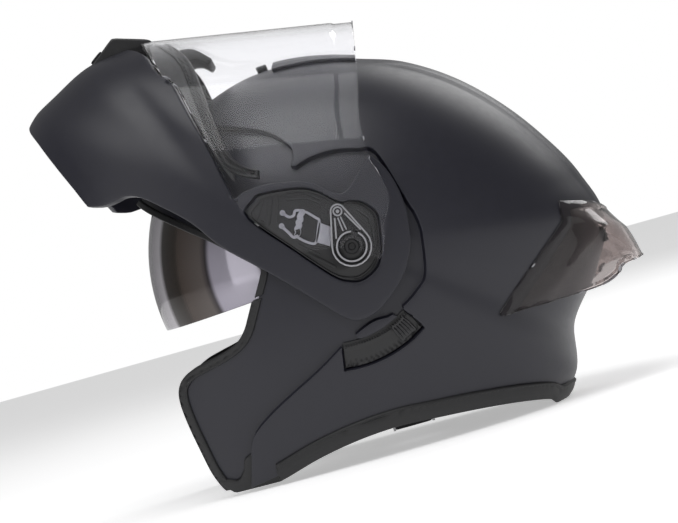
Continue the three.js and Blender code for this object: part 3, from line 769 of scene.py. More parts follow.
chin_bar = panel("chin_bar_wall", chin_skin, both(chin_field, away_from((0, 0), 5)), 3.0, shell_paint,
                 "chin_bar", "shell_paint", spacing=3.0, roll=0.8, relief=chin_relief,
                 seat=both(pocket_field, lambda p: np.abs(p[..., 0]) - 60), seat_depth=2.6)
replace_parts(chin_bar, "chin_bar")

# %% [markdown]
# ## Visor, sun shield and spoiler

# The visor is clear; a paler clear bead along its edge is a painted highlight, and a black strip beside it is a
# painted dark line for the shade along the clear edge. The sun shield turns round its own axis, so it has a skin
# of its own, and bands of tone on its mirror coat are painted reflection.

# %% Clear parts
visor_line = smooth(VISOR_LOW + [(17, -8), (19.5, -3), (22, 7), (27, 16), (29.4, 23), (28.7, 32), (27, 41),
                                 (25, 46), (24.5, 55), (25, 66), (27, 82), (30, 92), (34, 112), (37, 126),
                                 (41, 147), (44, 180), (44, 180), (-100, 192), (-100, 192), (-93, 160),
                                 (-89, 146)])
visor_edge = inside(visor_line)


def visor_bevel(points):
    """A flat bevel runs inside the rear edge, so the wall steps in by less than a millimetre."""
    t = np.clip((visor_edge(points) - 12.5) / 1.2, 0, 1)
    behind = np.clip((points[..., 1] + 6) / 6, 0, 1) * np.clip((points[..., 2] - 34) / 8, 0, 1)
    return -0.8 * (1 - t * t * (3 - 2 * t)) * behind


panel("visor_wall", visor_skin, both(visor_edge, away_from((0, 0), 4.7)), VISOR_WALL, clear, "visor",
      "clear_polycarbonate", ["visor"], spacing=2.4, roll=0.5, relief=visor_bevel, turn=(-40, 170))
# A paler clear bead along the visor's edge: a painted highlight.
panel("visor_edge_painted_highlight", visor_skin, both(band(visor_edge, -0.2, 0.6), lambda p: 150 - p[..., 2]),
      VISOR_WALL + 0.3, painted_highlight_clear, "visor", "clear_polycarbonate", spacing=1.3, roll=0.2, lift=0.15,
      turn=(-40, 170))

# A black strip beside the bead: a painted dark line, standing in for the shade along the clear edge.
panel("visor_edge_painted_shade_line", visor_skin, both(band(visor_edge, 0.75, 1.5), lambda p: 150 - p[..., 2],
                                           lambda p: 18 - p[..., 1]), VISOR_WALL + 0.2, rubber, "visor",
      "clear_polycarbonate", spacing=1.3, roll=0.2, lift=0.1, turn=(-40, 170))

SUN_LINE = [(-6, -9), (-30, -13), (-64, -16), (-100, -18.5), (-124, -19.5), (-140, -19), (-140, -19),
            (-140, 82), (-140, 82), (-112, 72), (-88, 50), (-40, 22), (-12, 13), (-4, 8), (-2.5, 0)]
sun_shield = panel("sun_shield_lens", sun_skin,
                   both(inside(smooth(SUN_LINE)), away_from(tuple(sun_axis), 3)), 2.0, mirror_smoke,
                   "sun_shield", "mirrored_smoke", spacing=3.0, roll=0.5)
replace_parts(sun_shield, "sun_shield")

# %% [markdown]
# ## Flat parts and turned parts
# Small moulded pieces are flat outlines with a thickness, and a filled 2D curve makes one with holes
# and a rounded edge in one go. Round pieces are a profile turned round an axis. Both come back as
# points and faces, so that one recipe serves the left side and its mirror image.


# %% Slabs and lathes
def circle(centre, radius, steps=28):
    turns = np.linspace(0, 2 * math.pi, steps, endpoint=False)
    return [(centre[0] + radius * math.cos(t), centre[1] + radius * math.sin(t)) for t in turns]


def rod(path, half, ends=7):
    """The outline of a flat bar with round ends along a path."""
    spine = np.array(path, float)
    along = np.gradient(spine, axis=0)
    along /= np.linalg.norm(along, axis=1)[:, None]
    across = np.stack([-along[:, 1], along[:, 0]], 1) * half
    cap = np.linspace(0, math.pi, ends)[1:-1, None]
    tip = spine[-1] + across[-1] * np.cos(cap) + along[-1] * half * np.sin(cap)
    tail = spine[0] - across[0] * np.cos(cap) - along[0] * half * np.sin(cap)
    return np.concatenate([spine + across, tip, (spine - across)[::-1], tail]).tolist()


def slab(outlines, low, high, bevel=0.3):
    """A flat part from x = low to x = high. The first outline is the part and the others are holes."""
    curve = bpy.data.curves.new("flat", "CURVE")
    curve.dimensions = "2D"
    curve.fill_mode = "BOTH"
    curve.extrude = (high - low) / 2 - bevel
    curve.bevel_depth = bevel
    curve.bevel_resolution = 2
    curve.offset = -bevel
    for outline in outlines:
        spline = curve.splines.new("POLY")
        spline.points.add(len(outline) - 1)
        spline.use_cyclic_u = True
        for point, (y, z) in zip(spline.points, outline):
            point.co = (y, z, 0, 1)
    holder = bpy.data.objects.new("flat", curve)
    bpy.context.scene.collection.objects.link(holder)
    mesh = bpy.data.meshes.new_from_object(holder.evaluated_get(bpy.context.evaluated_depsgraph_get()))
    points = np.array([tuple(v.co) for v in mesh.vertices])
    faces = [list(p.vertices) for p in mesh.polygons]
    bpy.data.objects.remove(holder)
    bpy.data.curves.remove(curve)
    bpy.data.meshes.remove(mesh)
    return np.stack([points[:, 2] + (low + high) / 2, points[:, 0], points[:, 1]], 1), faces


def lathe(profile, centre, steps=40):
    """A round part on an axis along x. The profile is (x, radius) pairs from the axis back to the axis."""
    turns = np.linspace(0, 2 * math.pi, steps, endpoint=False)
    points, faces = [], []
    for x, radius in profile:
        points += [(x, centre[0] + radius * math.cos(t), centre[1] + radius * math.sin(t)) for t in turns]
    rings = len(profile)
    for j in range(rings - 1):
        for i in range(steps):
            k = (i + 1) % steps
            faces.append([j * steps + i, j * steps + k, (j + 1) * steps + k, (j + 1) * steps + i])
    return np.array(points), faces


def merged(*parts):
    """Several (points, faces) as one."""
    points, faces = [], []
    for more_points, more_faces in parts:
        start = len(points)
        points += np.asarray(more_points).tolist()
        faces += [[start + i for i in face] for face in more_faces]
    return np.array(points), faces


print("slabs and lathes ready")

# %% [markdown]
# ## Rubber trims
# A black rubber profile is pressed over every raw edge of the shell. Each is a narrow wall on the
# shell's skin, a little proud of it, with a larger roll so that it reads as soft.

# %% Trims
TRIM_HEIGHT = 10.5


def trim_relief(points):
    """A fine groove runs along the trim, a third of the way down from its upper edge."""
    up_from_rim = rim_height(points)
    return -0.7 * np.exp(-((up_from_rim - 7.6) / 0.7) ** 2) + 0.5 * np.exp(-((up_from_rim - 4) / 2.6) ** 2)


rim_height = rim_field(0)
behind_front = lambda points: points[..., 1] + 80
panel("base_trim_rubber", shell_skin, both(band(rim_height, 0, TRIM_HEIGHT), behind_front), 7.5, rubber,
      "shell", "black_rubber", ["base_trim"], spacing=1.7, roll=1.1, lift=1.9, relief=trim_relief,
      turn=(200, 330))

below_port = lambda points: -15.5 - points[..., 2]
lip_edge = both(band(face_field, -3.4, 2.0), below_port, rim_field(2.5))
points, faces = wall_of(shell_skin, both(lip_edge, left_half), 6.2, spacing=1.5, roll=1.0,
                        lift=-SEAT_DEPTH + 1.7, turn=(165, 260), side=(20, 130),
                        relief=lambda p: -0.8 * np.exp(-((face_field(p) + 0.6) / 0.5) ** 2))
pair("face_lip_rubber", points, faces, rubber, "shell", "black_rubber", "face_lip")

above_cheek = lambda points: points[..., 2] + 14
panel("brow_trim_rubber", shell_skin, both(band(face_field, -2.2, 2.2), above_cheek), 6.0, rubber, "shell",
      "black_rubber", ["brow_trim"], spacing=1.7, roll=1.0, lift=-SEAT_DEPTH + 1.6, turn=(110, 215))

FRONT_BLOCK = [(-118.5, -117), (-116.8, -121), (-111.5, -127.2), (-109, -128), (-109, -128), (-80, -128),
               (-80, -128), (-78.2, -124.5), (-80.5, -113.5), (-87, -109), (-94, -106.5), (-99.5, -109),
               (-101.5, -115), (-107, -120.5), (-113, -119)]
points, faces = wall_of(shell_skin, both(inside(smooth(FRONT_BLOCK, 3)), left_half), 6.5, spacing=1.4,
                        roll=1.0, lift=-SEAT_DEPTH + 1.9, turn=(222, 245), side=(20, 130))
pair("corner_foot_rubber", points, faces, rubber, "shell", "black_rubber", "corner_foot")

# %% [markdown]
# ## Latch studs
# The closed chin bar's hooks snap over two round studs on each cheek. They are turned parts: a
# dished face with a raised rim, one profile for each, mirrored for the right side.

# %% Latch studs
STUD_SPOTS = {"upper": (-37.5, -37.4, 4.6), "lower": (-38.5, -46.0, 4.4)}
STUD_FACE = 111.9
for which, (y, z, radius) in STUD_SPOTS.items():
    face = STUD_FACE + (0.0 if which == "upper" else -0.8)
    profile = [(face - 6, 0), (face - 6, radius - 1), (face - 0.2, radius), (face + 1.2, radius),
               (face + 1.6, radius - 0.4), (face + 1.6, radius - 1.0), (face + 0.5, radius - 1.5),
               (face + 0.4, 1.9), (face + 0.9, 1.6), (face + 0.9, 0)]
    pair(f"latch_stud_{which}_cap", *lathe(profile, (y, z)), gloss_plastic, "shell",
         "steel" if which == "upper" else "black_rubber", f"latch_stud_{which}")

# %% [markdown]
# ## Rear spoiler
# A smoke tinted wing is clipped round the back of the shell. Its top edge lies on the shell, and it
# stands away more and more towards its trailing edge; a long blade runs forward on each side.

# %% Rear spoiler
SPOILER = [(129, -7), (129, -7), (150, -12), (160, -16), (200, -16), (200, -46.6), (152, -46.8), (143, -47.6),
           (138, -50), (136, -52.5), (128, -57.4), (114, -61), (95, -63.5), (77.5, -65), (75.5, -63.8),
           (76.5, -61), (102, -40), (127.5, -19.5), (127.5, -19.5)]
wing_edge = inside([(129, -7), (150, -12), (160, -16), (260, -16), (260, -200), (20, -200), (76.5, -61),
                    (127.5, -19.5)])


def wing_rise(points):
    from_edge = wing_edge(points).clip(0)
    middle = np.clip((96 - np.abs(points[..., 0])) / 56, 0, 1)
    middle = middle * middle * (3 - 2 * middle)
    rise = 1.2 + from_edge * (0.24 + 0.56 * middle) * np.clip(0.35 + from_edge / 24, 0, 1)
    ridge = 1.0 * np.exp(-((from_edge - 17) / 2.2) ** 2) * (1 - middle)
    lip = 0.8 * np.exp(-((from_edge - 2.6) / 1.1) ** 2) + ridge
    return np.minimum(rise, 27.5) + lip


panel("rear_spoiler_wing", shell_skin, both(inside(smooth(SPOILER, 4)), within(107)), 2.6, smoke, "shell",
      "smoke_polycarbonate", ["rear_spoiler"], spacing=1.8, roll=0.9, relief=wing_rise, turn=(-50, 12))

wing_outline = inside(smooth(SPOILER, 4))
# A paler clear band along the wing's edge: a painted highlight.
panel("rear_spoiler_edge_painted_highlight", shell_skin, both(band(wing_outline, 0.1, 0.9), within(106)), 0.5,
      painted_highlight_clear, "shell", "smoke_polycarbonate", spacing=1.4, roll=0.15, lift=0.15, relief=wing_rise,
      turn=(-50, 12))

# %% [markdown]
# ## Visor mechanism
# Under the visor, on each arm of the chin bar, a black plate fills the pocket. It carries raised
# walls, and a grey slider with two spring legs that lets go of the visor when it is pulled.

# %% Mechanism plates
POCKET_FLOOR = 119.4
plate_edge = [(-13 + (y + 13) * 0.955, 12 + (z - 12) * 0.955) for y, z in smooth(POCKET, 3)]
base = slab([plate_edge, circle((0, 0), 9.5)], POCKET_FLOOR + 0.3, POCKET_FLOOR + 1.1)
wall_line = slab([[(y * 0.998, z * 0.998) for y, z in plate_edge],
                  [(-13 + (y + 13) * 0.91, 12 + (z - 12) * 0.90) for y, z in smooth(POCKET, 3)]],
                 POCKET_FLOOR + 0.9, POCKET_FLOOR + 2.5)
ribs = [rod([(-44, 40), (-50, 31)], 0.7), rod([(-39, 41), (-44.5, 27)], 1.6),
        rod([(-34, 41), (-39, 26), (-36, 20)], 0.5), rod([(-33, 40.5), (-18, 37.5), (-11, 32)], 0.6),
        rod([(-30, 37.5), (-18, 34.5), (-12, 30)], 0.5), rod([(-26, 3), (-13, -9)], 0.9),
        rod([(-30, 9.5), (-20, 1)], 0.6), rod([(9, 20), (14, 14), (14.5, 4), (11, -6)], 0.6)]
raised = [slab([line], POCKET_FLOOR + 0.9, POCKET_FLOOR + 2.1, 0.25) for line in ribs]
hub = lathe([(POCKET_FLOOR + 0.4, 0), (POCKET_FLOOR + 0.4, 8.9), (POCKET_FLOOR + 3.6, 8.9),
             (POCKET_FLOOR + 3.9, 8.5), (POCKET_FLOOR + 3.9, 4.5), (126.0, 4.4), (126.5, 3.9), (126.5, 2.4),
             (125.2, 1.8), (125.2, 0)],
            (0, 0))
pair("visor_base_plate_moulding", *merged(base, wall_line, hub, *raised), moulded, "chin_bar",
     "black_plastic", "visor_base_plate")

# %% [markdown]
# ## Quick release sliders
# Each slider is one acetal moulding: a wavy grip, two thin legs that act as springs, and a frame round a
# window. Bars along a bent line give it its even widths, which a boolean of blocks wouldn't.

# %% Quick release sliders
wave = smooth([(-29.5, 15.5), (-28.2, 17.2), (-28.6, 19.0), (-26.6, 20.4), (-26.9, 22.4), (-24.9, 23.6),
               (-25.1, 25.6), (-22.6, 27.6)], 5, closed=False)
upper_leg = smooth([(-22.6, 28.4), (-26.6, 29.6), (-28.6, 27.0), (-31.6, 27.2), (-34.2, 30.2)], 6,
                   closed=False)
lower_leg = smooth([(-29.6, 14.8), (-32.0, 14.6), (-34.0, 18.0), (-36.8, 22.6)], 6, closed=False)
frame_low, frame_high = POCKET_FLOOR + 1.3, POCKET_FLOOR + 3.3
window_frame = slab([rod(smooth([(-29.8, 14.2), (-26.2, 10.6), (-21.6, 7.8), (-19.2, 9.2), (-14.6, 19.4),
                                 (-16.4, 22.6), (-20.6, 27.0)], 5, closed=False), 0.75)], frame_low,
                    frame_high)
block_face = slab([[(-15.6, 19.5), (-9.6, 15.2), (-8.6, 12.4), (-12.4, 3.6), (-20.2, 8.4)]], frame_low,
                  frame_high)
release = merged(slab([rod(wave, 1.7)], frame_low, frame_high, 0.4),
                 slab([rod(upper_leg, 0.85)], frame_low, frame_high),
                 slab([rod(lower_leg, 0.85)], frame_low, frame_high), window_frame, block_face,
                 slab([circle((-34.4, 30.4), 1.7)], frame_low, frame_high),
                 slab([circle((-37.0, 23.0), 1.7)], frame_low, frame_high))
pair("visor_quick_release_slider", *release, grey_acetal, "visor_quick_release", "grey_plastic",
     "visor_quick_release", each_body=True)

# %% [markdown]
# ## The visor's boss
# The clear visor turns on a teardrop boss that is moulded with it: an outer wall, a small pin at the
# tip, three webs between them, and a ring that is open at one side round the axle.

# %% Visor boss
VISOR_SIDE = 126.2
TIP = (-2.6, 22.4)


def teardrop(big, small, steps=14):
    """Two circles, one on the axis and one at the tip, and their common tangents."""
    span = math.hypot(*TIP)
    way = math.atan2(TIP[1], TIP[0])
    lean = math.acos((big - small) / span)
    low = np.linspace(way + lean, way - lean + 2 * math.pi, steps)
    high = np.linspace(way - lean, way + lean, steps)
    return ([(big * math.cos(a), big * math.sin(a)) for a in low]
            + [(TIP[0] + small * math.cos(a), TIP[1] + small * math.sin(a)) for a in high])


boss_low, boss_high = VISOR_SIDE - 2.0, VISOR_SIDE - 0.2
boss = [slab([teardrop(12.2, 4.6), teardrop(11.2, 3.6)], boss_low, boss_high + 1.6, 0.3),
        slab([circle(TIP, 3.0), circle(TIP, 2.0)], boss_low, boss_high + 1.6, 0.25),
        slab([circle(TIP, 1.1)], boss_low, boss_high + 1.4, 0.25),
        slab([rod([(8.9 * math.cos(a),
                    8.9 * math.sin(a)) for a in np.radians(np.linspace(48, -300 + 20, 40))], 0.55)],
             boss_low, boss_high + 1.6, 0.25),
        slab([rod([(-7.6, 7.2), (-5.4, 18.6)], 0.5)], boss_low, boss_high + 1.6, 0.25),
        slab([rod([(-2.6, 10.6), (-3.4, 18.4)], 0.45)], boss_low, boss_high + 1.6, 0.25),
        slab([rod([(-0.4, 10.8), (-1.8, 18.6)], 0.45)], boss_low, boss_high + 1.6, 0.25),
        slab([rod([(7.6, 8.6), (1.2, 20.0)], 0.5)], boss_low, boss_high + 1.6, 0.25)]
# The bosses wear the paler, half clear finish of the painted highlights.
bosses = []
for side_name, flip in (("left", 1), ("right", -1)):
    points, faces = merged(*boss)
    bosses.append(to_object(f"visor_boss_{side_name}", points * [flip, 1, 1],
                            faces if flip > 0 else [f[::-1] for f in faces], painted_highlight_clear, "visor",
                            "clear_polycarbonate"))

# %% [markdown]
# ## Sun shield slider
# On the left side the shell has a channel, an arc round the sun shield's pivot. A black track lines it
# and a thumb slider runs in it. The slider's grip ribs repeat, so Geometry Nodes put them along an arc.


# %% Channel track
def in_track(points):
    """Two long rails with a fine rack of notches between them."""
    from_pin = np.hypot(points[..., 1] - sun_axis[0], points[..., 2] - sun_axis[1])
    turn = np.degrees(np.arctan2(points[..., 2] - sun_axis[1], points[..., 1] - sun_axis[0]))
    rails = np.exp(-((from_pin - 60.0) / 0.7) ** 2) + np.exp(-((from_pin - 71.4) / 0.7) ** 2)
    rack = (np.cos(np.radians(turn) * 140) > 0) * (np.abs(from_pin - 70.0) < 1.2)
    return 0.7 * rails + 0.4 * rack


panel("sun_slider_track_moulding", shell_skin, both(inside(sector(57.7, 73.3, -98.3, -55.7)), left_half), 0.9,
      moulded, "shell", "black_plastic", ["sun_slider_track"], spacing=0.9, roll=0.25, lift=-SEAT_DEPTH + 1.2,
      relief=in_track, turn=(240, 325), side=(60, 130))

# %% [markdown]
# ## Thumb slider
# The grip is a short panel on the shell's own skin. It steps down away from the sun shield's pivot.

# %% Thumb slider
thumb_field = both(inside(smooth(sector(59.6, 71.2, -67.8, -58.2, 5), 2)), left_half)
points, faces = wall_of(shell_skin, thumb_field, 2.2, spacing=0.9, roll=0.6, lift=-0.9, turn=(270, 325),
                        side=(60, 130), relief=lambda p: -0.9 * np.clip((np.hypot(p[..., 1] - sun_axis[0],
                                                                  p[..., 2] - sun_axis[1]) - 62.5) / 3, 0, 1))
thumb = to_object("sun_shield_slider_grip", points, faces, gloss_plastic, "sun_shield_slider", "black_rubber")
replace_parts(thumb, "sun_shield_slider")


# %% [markdown]
# ## Rows along an arc
# Ribs and rack notches sit at even angles round the sun shield's pivot. A node tree with named inputs
# places them, and its mesh is taken as it is, so a new count or radius needs no new modelling.

# %% Geometry Nodes: pieces along an arc
def arc_row(name, count, radius, start, stop, size, material, x, lean=0.0):
    """Small bars along an arc round the sun shield's pivot, built by a node tree with named inputs."""
    tree = bpy.data.node_groups.new(name, "GeometryNodeTree")
    sockets = {}
    for label, kind in (("Count", "NodeSocketInt"), ("Radius", "NodeSocketFloat"),
                        ("Start", "NodeSocketFloat"), ("Sweep", "NodeSocketFloat"),
                        ("Bar", "NodeSocketVector")):
        sockets[label] = tree.interface.new_socket(label, in_out="INPUT", socket_type=kind).identifier
    tree.interface.new_socket("Geometry", in_out="OUTPUT", socket_type="NodeSocketGeometry")
    nodes, links = tree.nodes, tree.links
    given, out = nodes.new("NodeGroupInput"), nodes.new("NodeGroupOutput")
    path = nodes.new("GeometryNodeCurveArc")
    path.mode = "RADIUS"
    for socket, label in (("Radius", "Radius"), ("Start Angle", "Start"), ("Sweep Angle", "Sweep")):
        links.new(given.outputs[label], path.inputs[socket])
    spots = nodes.new("GeometryNodeCurveToPoints")
    spots.mode = "COUNT"
    links.new(path.outputs["Curve"], spots.inputs["Curve"])
    links.new(given.outputs["Count"], spots.inputs["Count"])
    bar = nodes.new("GeometryNodeMeshCube")
    for axis in ("X", "Y", "Z"):
        bar.inputs["Vertices " + axis].default_value = 3
    links.new(given.outputs["Bar"], bar.inputs["Size"])
    soft = nodes.new("GeometryNodeSubdivisionSurface")
    soft.inputs["Level"].default_value = 1
    links.new(bar.outputs["Mesh"], soft.inputs["Mesh"])
    row = nodes.new("GeometryNodeInstanceOnPoints")
    links.new(spots.outputs["Points"], row.inputs["Points"])
    links.new(soft.outputs["Mesh"], row.inputs["Instance"])
    links.new(spots.outputs["Rotation"], row.inputs["Rotation"])
    real = nodes.new("GeometryNodeRealizeInstances")
    links.new(row.outputs["Instances"], real.inputs["Geometry"])
    dressed = nodes.new("GeometryNodeSetMaterial")
    dressed.inputs["Material"].default_value = material
    links.new(real.outputs["Geometry"], dressed.inputs["Geometry"])
    links.new(dressed.outputs["Geometry"], out.inputs["Geometry"])
    holder = bpy.data.objects.new(name, bpy.data.meshes.new(name))
    bpy.context.scene.collection.objects.link(holder)
    modifier = holder.modifiers.new("row", "NODES")
    modifier.node_group = tree
    sweep = math.radians(stop - start)
    for label, value in (("Count", count), ("Radius", radius), ("Start", math.radians(start)),
                         ("Sweep", sweep), ("Bar", size)):
        modifier[sockets[label]] = value
    mesh = bpy.data.meshes.new_from_object(holder.evaluated_get(bpy.context.evaluated_depsgraph_get()))
    points = np.array([tuple(v.co) for v in mesh.vertices])
    faces = [list(p.vertices) for p in mesh.polygons]
    bpy.data.objects.remove(holder)
    points = np.stack([points[:, 2] + x, points[:, 0] + sun_axis[0], points[:, 1] + sun_axis[1]], 1)
    return points, faces


ribs = arc_row("thumb_slider_ribs", 5, 65.6, -66.4, -59.6, (8.4, 0.8, 1.1), gloss_plastic, 119.35)
to_object("thumb_slider_ribs", *ribs, gloss_plastic, "sun_shield_slider", "black_rubber")
notches = arc_row("track_notches", 26, 59.0, -97.0, -57.0, (1.6, 0.5, 0.7), moulded, 117.6)
to_object("track_notches", *notches, moulded, "shell", "black_plastic")

# %% [markdown]
# ## Eye port gasket and front fittings
# A rubber gasket follows the eye port of the chin bar, so that the closed visor seals against it. The
# vents and the breath deflector are small mouldings on the skins of the walls that carry them.

# %% Gasket
GASKET_FRONT = [(-90, 165), (-86, 158), (-79, 149), (-74.4, 142), (-71.4, 131.5), (-68.5, 104.3),
                (-64.7, 80.4), (-61.4, 67.1), (-54.6, 60), (-46.1, 55.8), (-43.2, 55)]
GASKET_REAR = [(-42, 60.4), (-43, 60.7), (-48.4, 63.5), (-55.1, 70.7), (-58.9, 82.3), (-61.7, 100.6),
               (-64.2, 125.9), (-67.1, 140.8), (-72, 149), (-79, 158), (-83, 165)]
gasket_ring = np.concatenate([smooth(GASKET_FRONT, 4, closed=False), smooth(GASKET_REAR, 4, closed=False)])
panel("visor_gasket_rubber", visor_skin, inside(gasket_ring), 3.6, rubber, "chin_bar", "black_rubber",
      ["visor_gasket"], spacing=1.6, roll=0.9, lift=-VISOR_WALL - 0.8, turn=(105, 150),
      relief=lambda p: -1.1 * np.exp(-((inside(gasket_ring)(p) - 2.0) / 0.6) ** 2))

# A thin carrier fills the room between the chin bar's edge and the gasket.
carrier_front = smooth([(-90, 165), (-89, 150), (-84.4, 133.5), (-77.6, 126), (-71.3, 100.5), (-64.6, 73.5),
                        (-58, 55)], 4,
                       closed=False)
carrier_rear = smooth([(-57, 66), (-61.5, 82.3), (-64.6, 100.6), (-67.2, 125.9), (-70, 140), (-75, 149),
                       (-82, 158), (-86, 165)], 4, closed=False)
panel("gasket_carrier", visor_skin, inside(np.concatenate([carrier_front, carrier_rear])), 1.4, moulded,
      "chin_bar", "black_plastic", spacing=1.8, roll=0.3, lift=-VISOR_WALL - 1.8, turn=(105, 150))

# %% [markdown]
# ## Top vent
# The lid is a low panel with a mouth cut through it, and a shutter with fine ribs slides in the mouth.
# Both lie on the shell's skin, so they hug the crown at any width.

# %% Top vent
LID = [(-45, 94.5), (-38, 101), (-31, 106.5), (-21, 114.5), (-14.5, 124), (-8, 134), (30, 134), (33, 110),
       (25, 108), (9, 96), (-13, 91.8), (-30, 93.8)]
mouth = both(within(21), lambda p: 5 - np.abs((p[..., 1] + 23) * 0.96 + (p[..., 2] - 122) * 0.28))


def lid_rise(points):
    back_slope = np.clip((34 - points[..., 1]) / 40, 0, 1)
    shoulder = np.clip((43 - np.abs(points[..., 0])) / 9, 0, 1)
    crest = np.exp(-((np.abs(points[..., 0]) - 24) / 2.2) ** 2)
    return 0.9 * shoulder * back_slope + 0.7 * crest * back_slope - 0.6


panel("top_vent_lid", shell_skin, both(inside(smooth(LID, 4)), within(43.5), outside(mouth)), 2.4,
      shell_paint, "shell", "shell_paint", ["top_vent"], spacing=1.5, roll=0.7, lift=2.9, relief=lid_rise,
      turn=(60, 125), side=(-60, 60))
panel("top_vent_shutter", shell_skin,
      both(within(20.5), lambda p: 3.2 - np.abs((p[..., 1] + 23.4) * 0.96 + (p[..., 2] - 122) * 0.28)), 3.2,
      gloss_plastic, "top_vent_slider", "black_plastic", ["top_vent_slider"], spacing=1.0, roll=0.5, lift=3.6,
      turn=(90, 115), side=(-30, 30), relief=lambda p: 0.45 * np.cos(p[..., 0] * 1.6))

# %% [markdown]
# ## Rear vent
# A narrow grille under the spoiler. Its slats are a relief on one panel, which stays one closed piece.

# %% Rear vent
def louvre(p):
    """Level slats, which fade out at both ends."""
    return 0.7 * np.sign(np.sin((p[..., 2] + 40) * 1.45)) * np.clip((33 - np.abs(p[..., 0])) / 3, 0, 1)


panel("rear_vent_grille", shell_skin,
      both(within(34), lambda p: 5.6 - np.abs(p[..., 2] + 33.5), lambda p: p[..., 1]), 1.8, moulded, "shell",
      "black_plastic", ["rear_vent"], spacing=1.1, roll=0.6, lift=2.0, relief=louvre, turn=(-25, 0),
      side=(-40, 40))

# %% [markdown]
# ## Front fittings
# The vent cover, its lips, its thumb slide and the breath deflector are flat mouldings of one side outline
# each, so a slab with a rounded edge is enough.

# %% Chin vent, its slide and the breath deflector
COVER = [(-131.5, 150.6), (-130.9, 152.2), (-125, 156.4), (-117, 162.5), (-112, 166.4), (-109.1, 167.6),
         (-102, 165.6), (-94.2, 163.2), (-88.5, 161.2), (-86.2, 159), (-87.5, 155), (-92.8, 150.8),
         (-104, 153.5), (-120, 151)]
cover = slab([smooth(COVER, 3)], -24.5, 24.5, 1.2)
vent = to_object("chin_vent_cover", *cover, moulded, "chin_bar", "black_plastic")
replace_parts(vent, "chin_vent")
LIP = [(-126.4, 157.2), (-120.0, 161.8), (-119.4, 160.8), (-125.6, 156.2)]
lip = merged(*[slab([smooth(LIP, 3)], low, low + 17, 0.25) for low in (-21.5, 4.5)])
to_object("chin_vent_lips", *lip, gloss_plastic, "chin_bar", "black_plastic")
knob = slab([smooth([(-119.4, 162.4), (-114.2, 165.8), (-113.4, 164.4), (-118.4, 161.0)], 3)], -9.6, 9.6, 0.3)
slider = to_object("chin_vent_thumb", *knob, gloss_plastic, "chin_vent_slider", "black_rubber")
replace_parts(slider, "chin_vent_slider")

DEFLECTOR = [(-82, 142), (-77, 145.8), (-71, 148), (-62, 146.4), (-53.5, 138.8), (-52.8, 137), (-55.6, 134.6),
             (-60, 138.6), (-66, 139.8), (-74, 138.2), (-80.5, 134.6)]
deflector = to_object("breath_deflector_rubber", *slab([smooth(DEFLECTOR, 3)], -33.5, 33.5, 1.0), rubber,
                      "chin_bar", "black_rubber")
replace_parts(deflector, "breath_deflector")

# %% [markdown]
# ## Release button
# The button is pressed to free the closed bar. It is a soft square in side view, let into the lower rim.

# %% Release button
KEY_CENTRE, KEY_TURN, KEY_HALF = (-167.1, 117.4), math.radians(24.6), 4.3
key_corners = [(-1, -1), (-0.4, -1.06), (1, -1), (1, 1), (-0.4, 1.06), (-1, 1)]
button_edge = smooth([(KEY_CENTRE[0] + KEY_HALF * (u * math.cos(KEY_TURN) - v * math.sin(KEY_TURN)),
                       KEY_CENTRE[1] + KEY_HALF * (u * math.sin(KEY_TURN) + v * math.cos(KEY_TURN)))
                      for u, v in key_corners], 3)
button = to_object("chin_release_key", *slab([button_edge], -12.8, 12.8, 1.2), gloss_plastic,
                   "chin_release_button", "black_plastic")
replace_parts(button, "chin_release_button")

# %% [markdown]
# ## Soft parts
# The foam and the comfort padding fill the spaces that their CAD solids hold. A solid is copied, remeshed
# into small even faces and smoothed, so that its edges turn soft. A comfort pad is then blown up a little
# by a cloth simulation with pressure, and what a pad may grow is capped, so that neighbours stay apart.


# %% Foam and cushions
def soft_copy(node, name, voxel, rounds, shrink=0.0):
    """A CAD solid as even, rounded faces."""
    mesh = frame["nodes"][node].data.copy()
    clean = bmesh.new()
    clean.from_mesh(mesh)
    bmesh.ops.remove_doubles(clean, verts=clean.verts, dist=1e-5)
    clean.to_mesh(mesh)
    clean.free()
    piece = bpy.data.objects.new(name, mesh)
    bpy.context.scene.collection.objects.link(piece)
    remesh = piece.modifiers.new("remesh", "REMESH")
    remesh.mode = "VOXEL"
    remesh.voxel_size = voxel
    ease = piece.modifiers.new("ease", "SMOOTH")
    ease.factor = 0.5
    ease.iterations = rounds
    piece.data = bpy.data.meshes.new_from_object(piece.evaluated_get(bpy.context.evaluated_depsgraph_get()))
    piece.modifiers.clear()
    piece.data.name = name
    if shrink:
        for vertex in piece.data.vertices:
            vertex.co -= vertex.normal * shrink
    piece.data.shade_smooth()
    return piece


def dress(piece, node, material, body):
    piece.data.materials.clear()
    piece.data.materials.append(material)
    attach(piece, body)
    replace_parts(piece, node)
    print(f"{piece.name}: {len(piece.data.polygons)} faces")


def blow_up(piece, cap, pressure=4.0):
    """Cloth with pressure swells the pad, and no point moves further than the cap."""
    start = np.array([tuple(v.co) for v in piece.data.vertices])
    cloth = piece.modifiers.new("Cloth", "CLOTH")
    cloth.settings.use_pressure = True
    cloth.settings.uniform_pressure_force = pressure
    cloth.settings.effector_weights.gravity = 0
    cloth.point_cache.frame_end = 20
    for step in range(1, 21):
        bpy.context.scene.frame_set(step)
    blown = piece.evaluated_get(bpy.context.evaluated_depsgraph_get()).data
    move = np.array([tuple(v.co) for v in blown.vertices]) - start
    piece.modifiers.remove(cloth)
    bpy.context.scene.frame_set(1)
    reach = np.linalg.norm(move, axis=1)[:, None]
    end = start + move * np.minimum(1, cap / np.maximum(reach, 1e-9))
    piece.data.vertices.foreach_set("co", end.ravel())
    print(f"{piece.name}: swelled {float(reach.mean()) * 1000:.2f} mm on average")


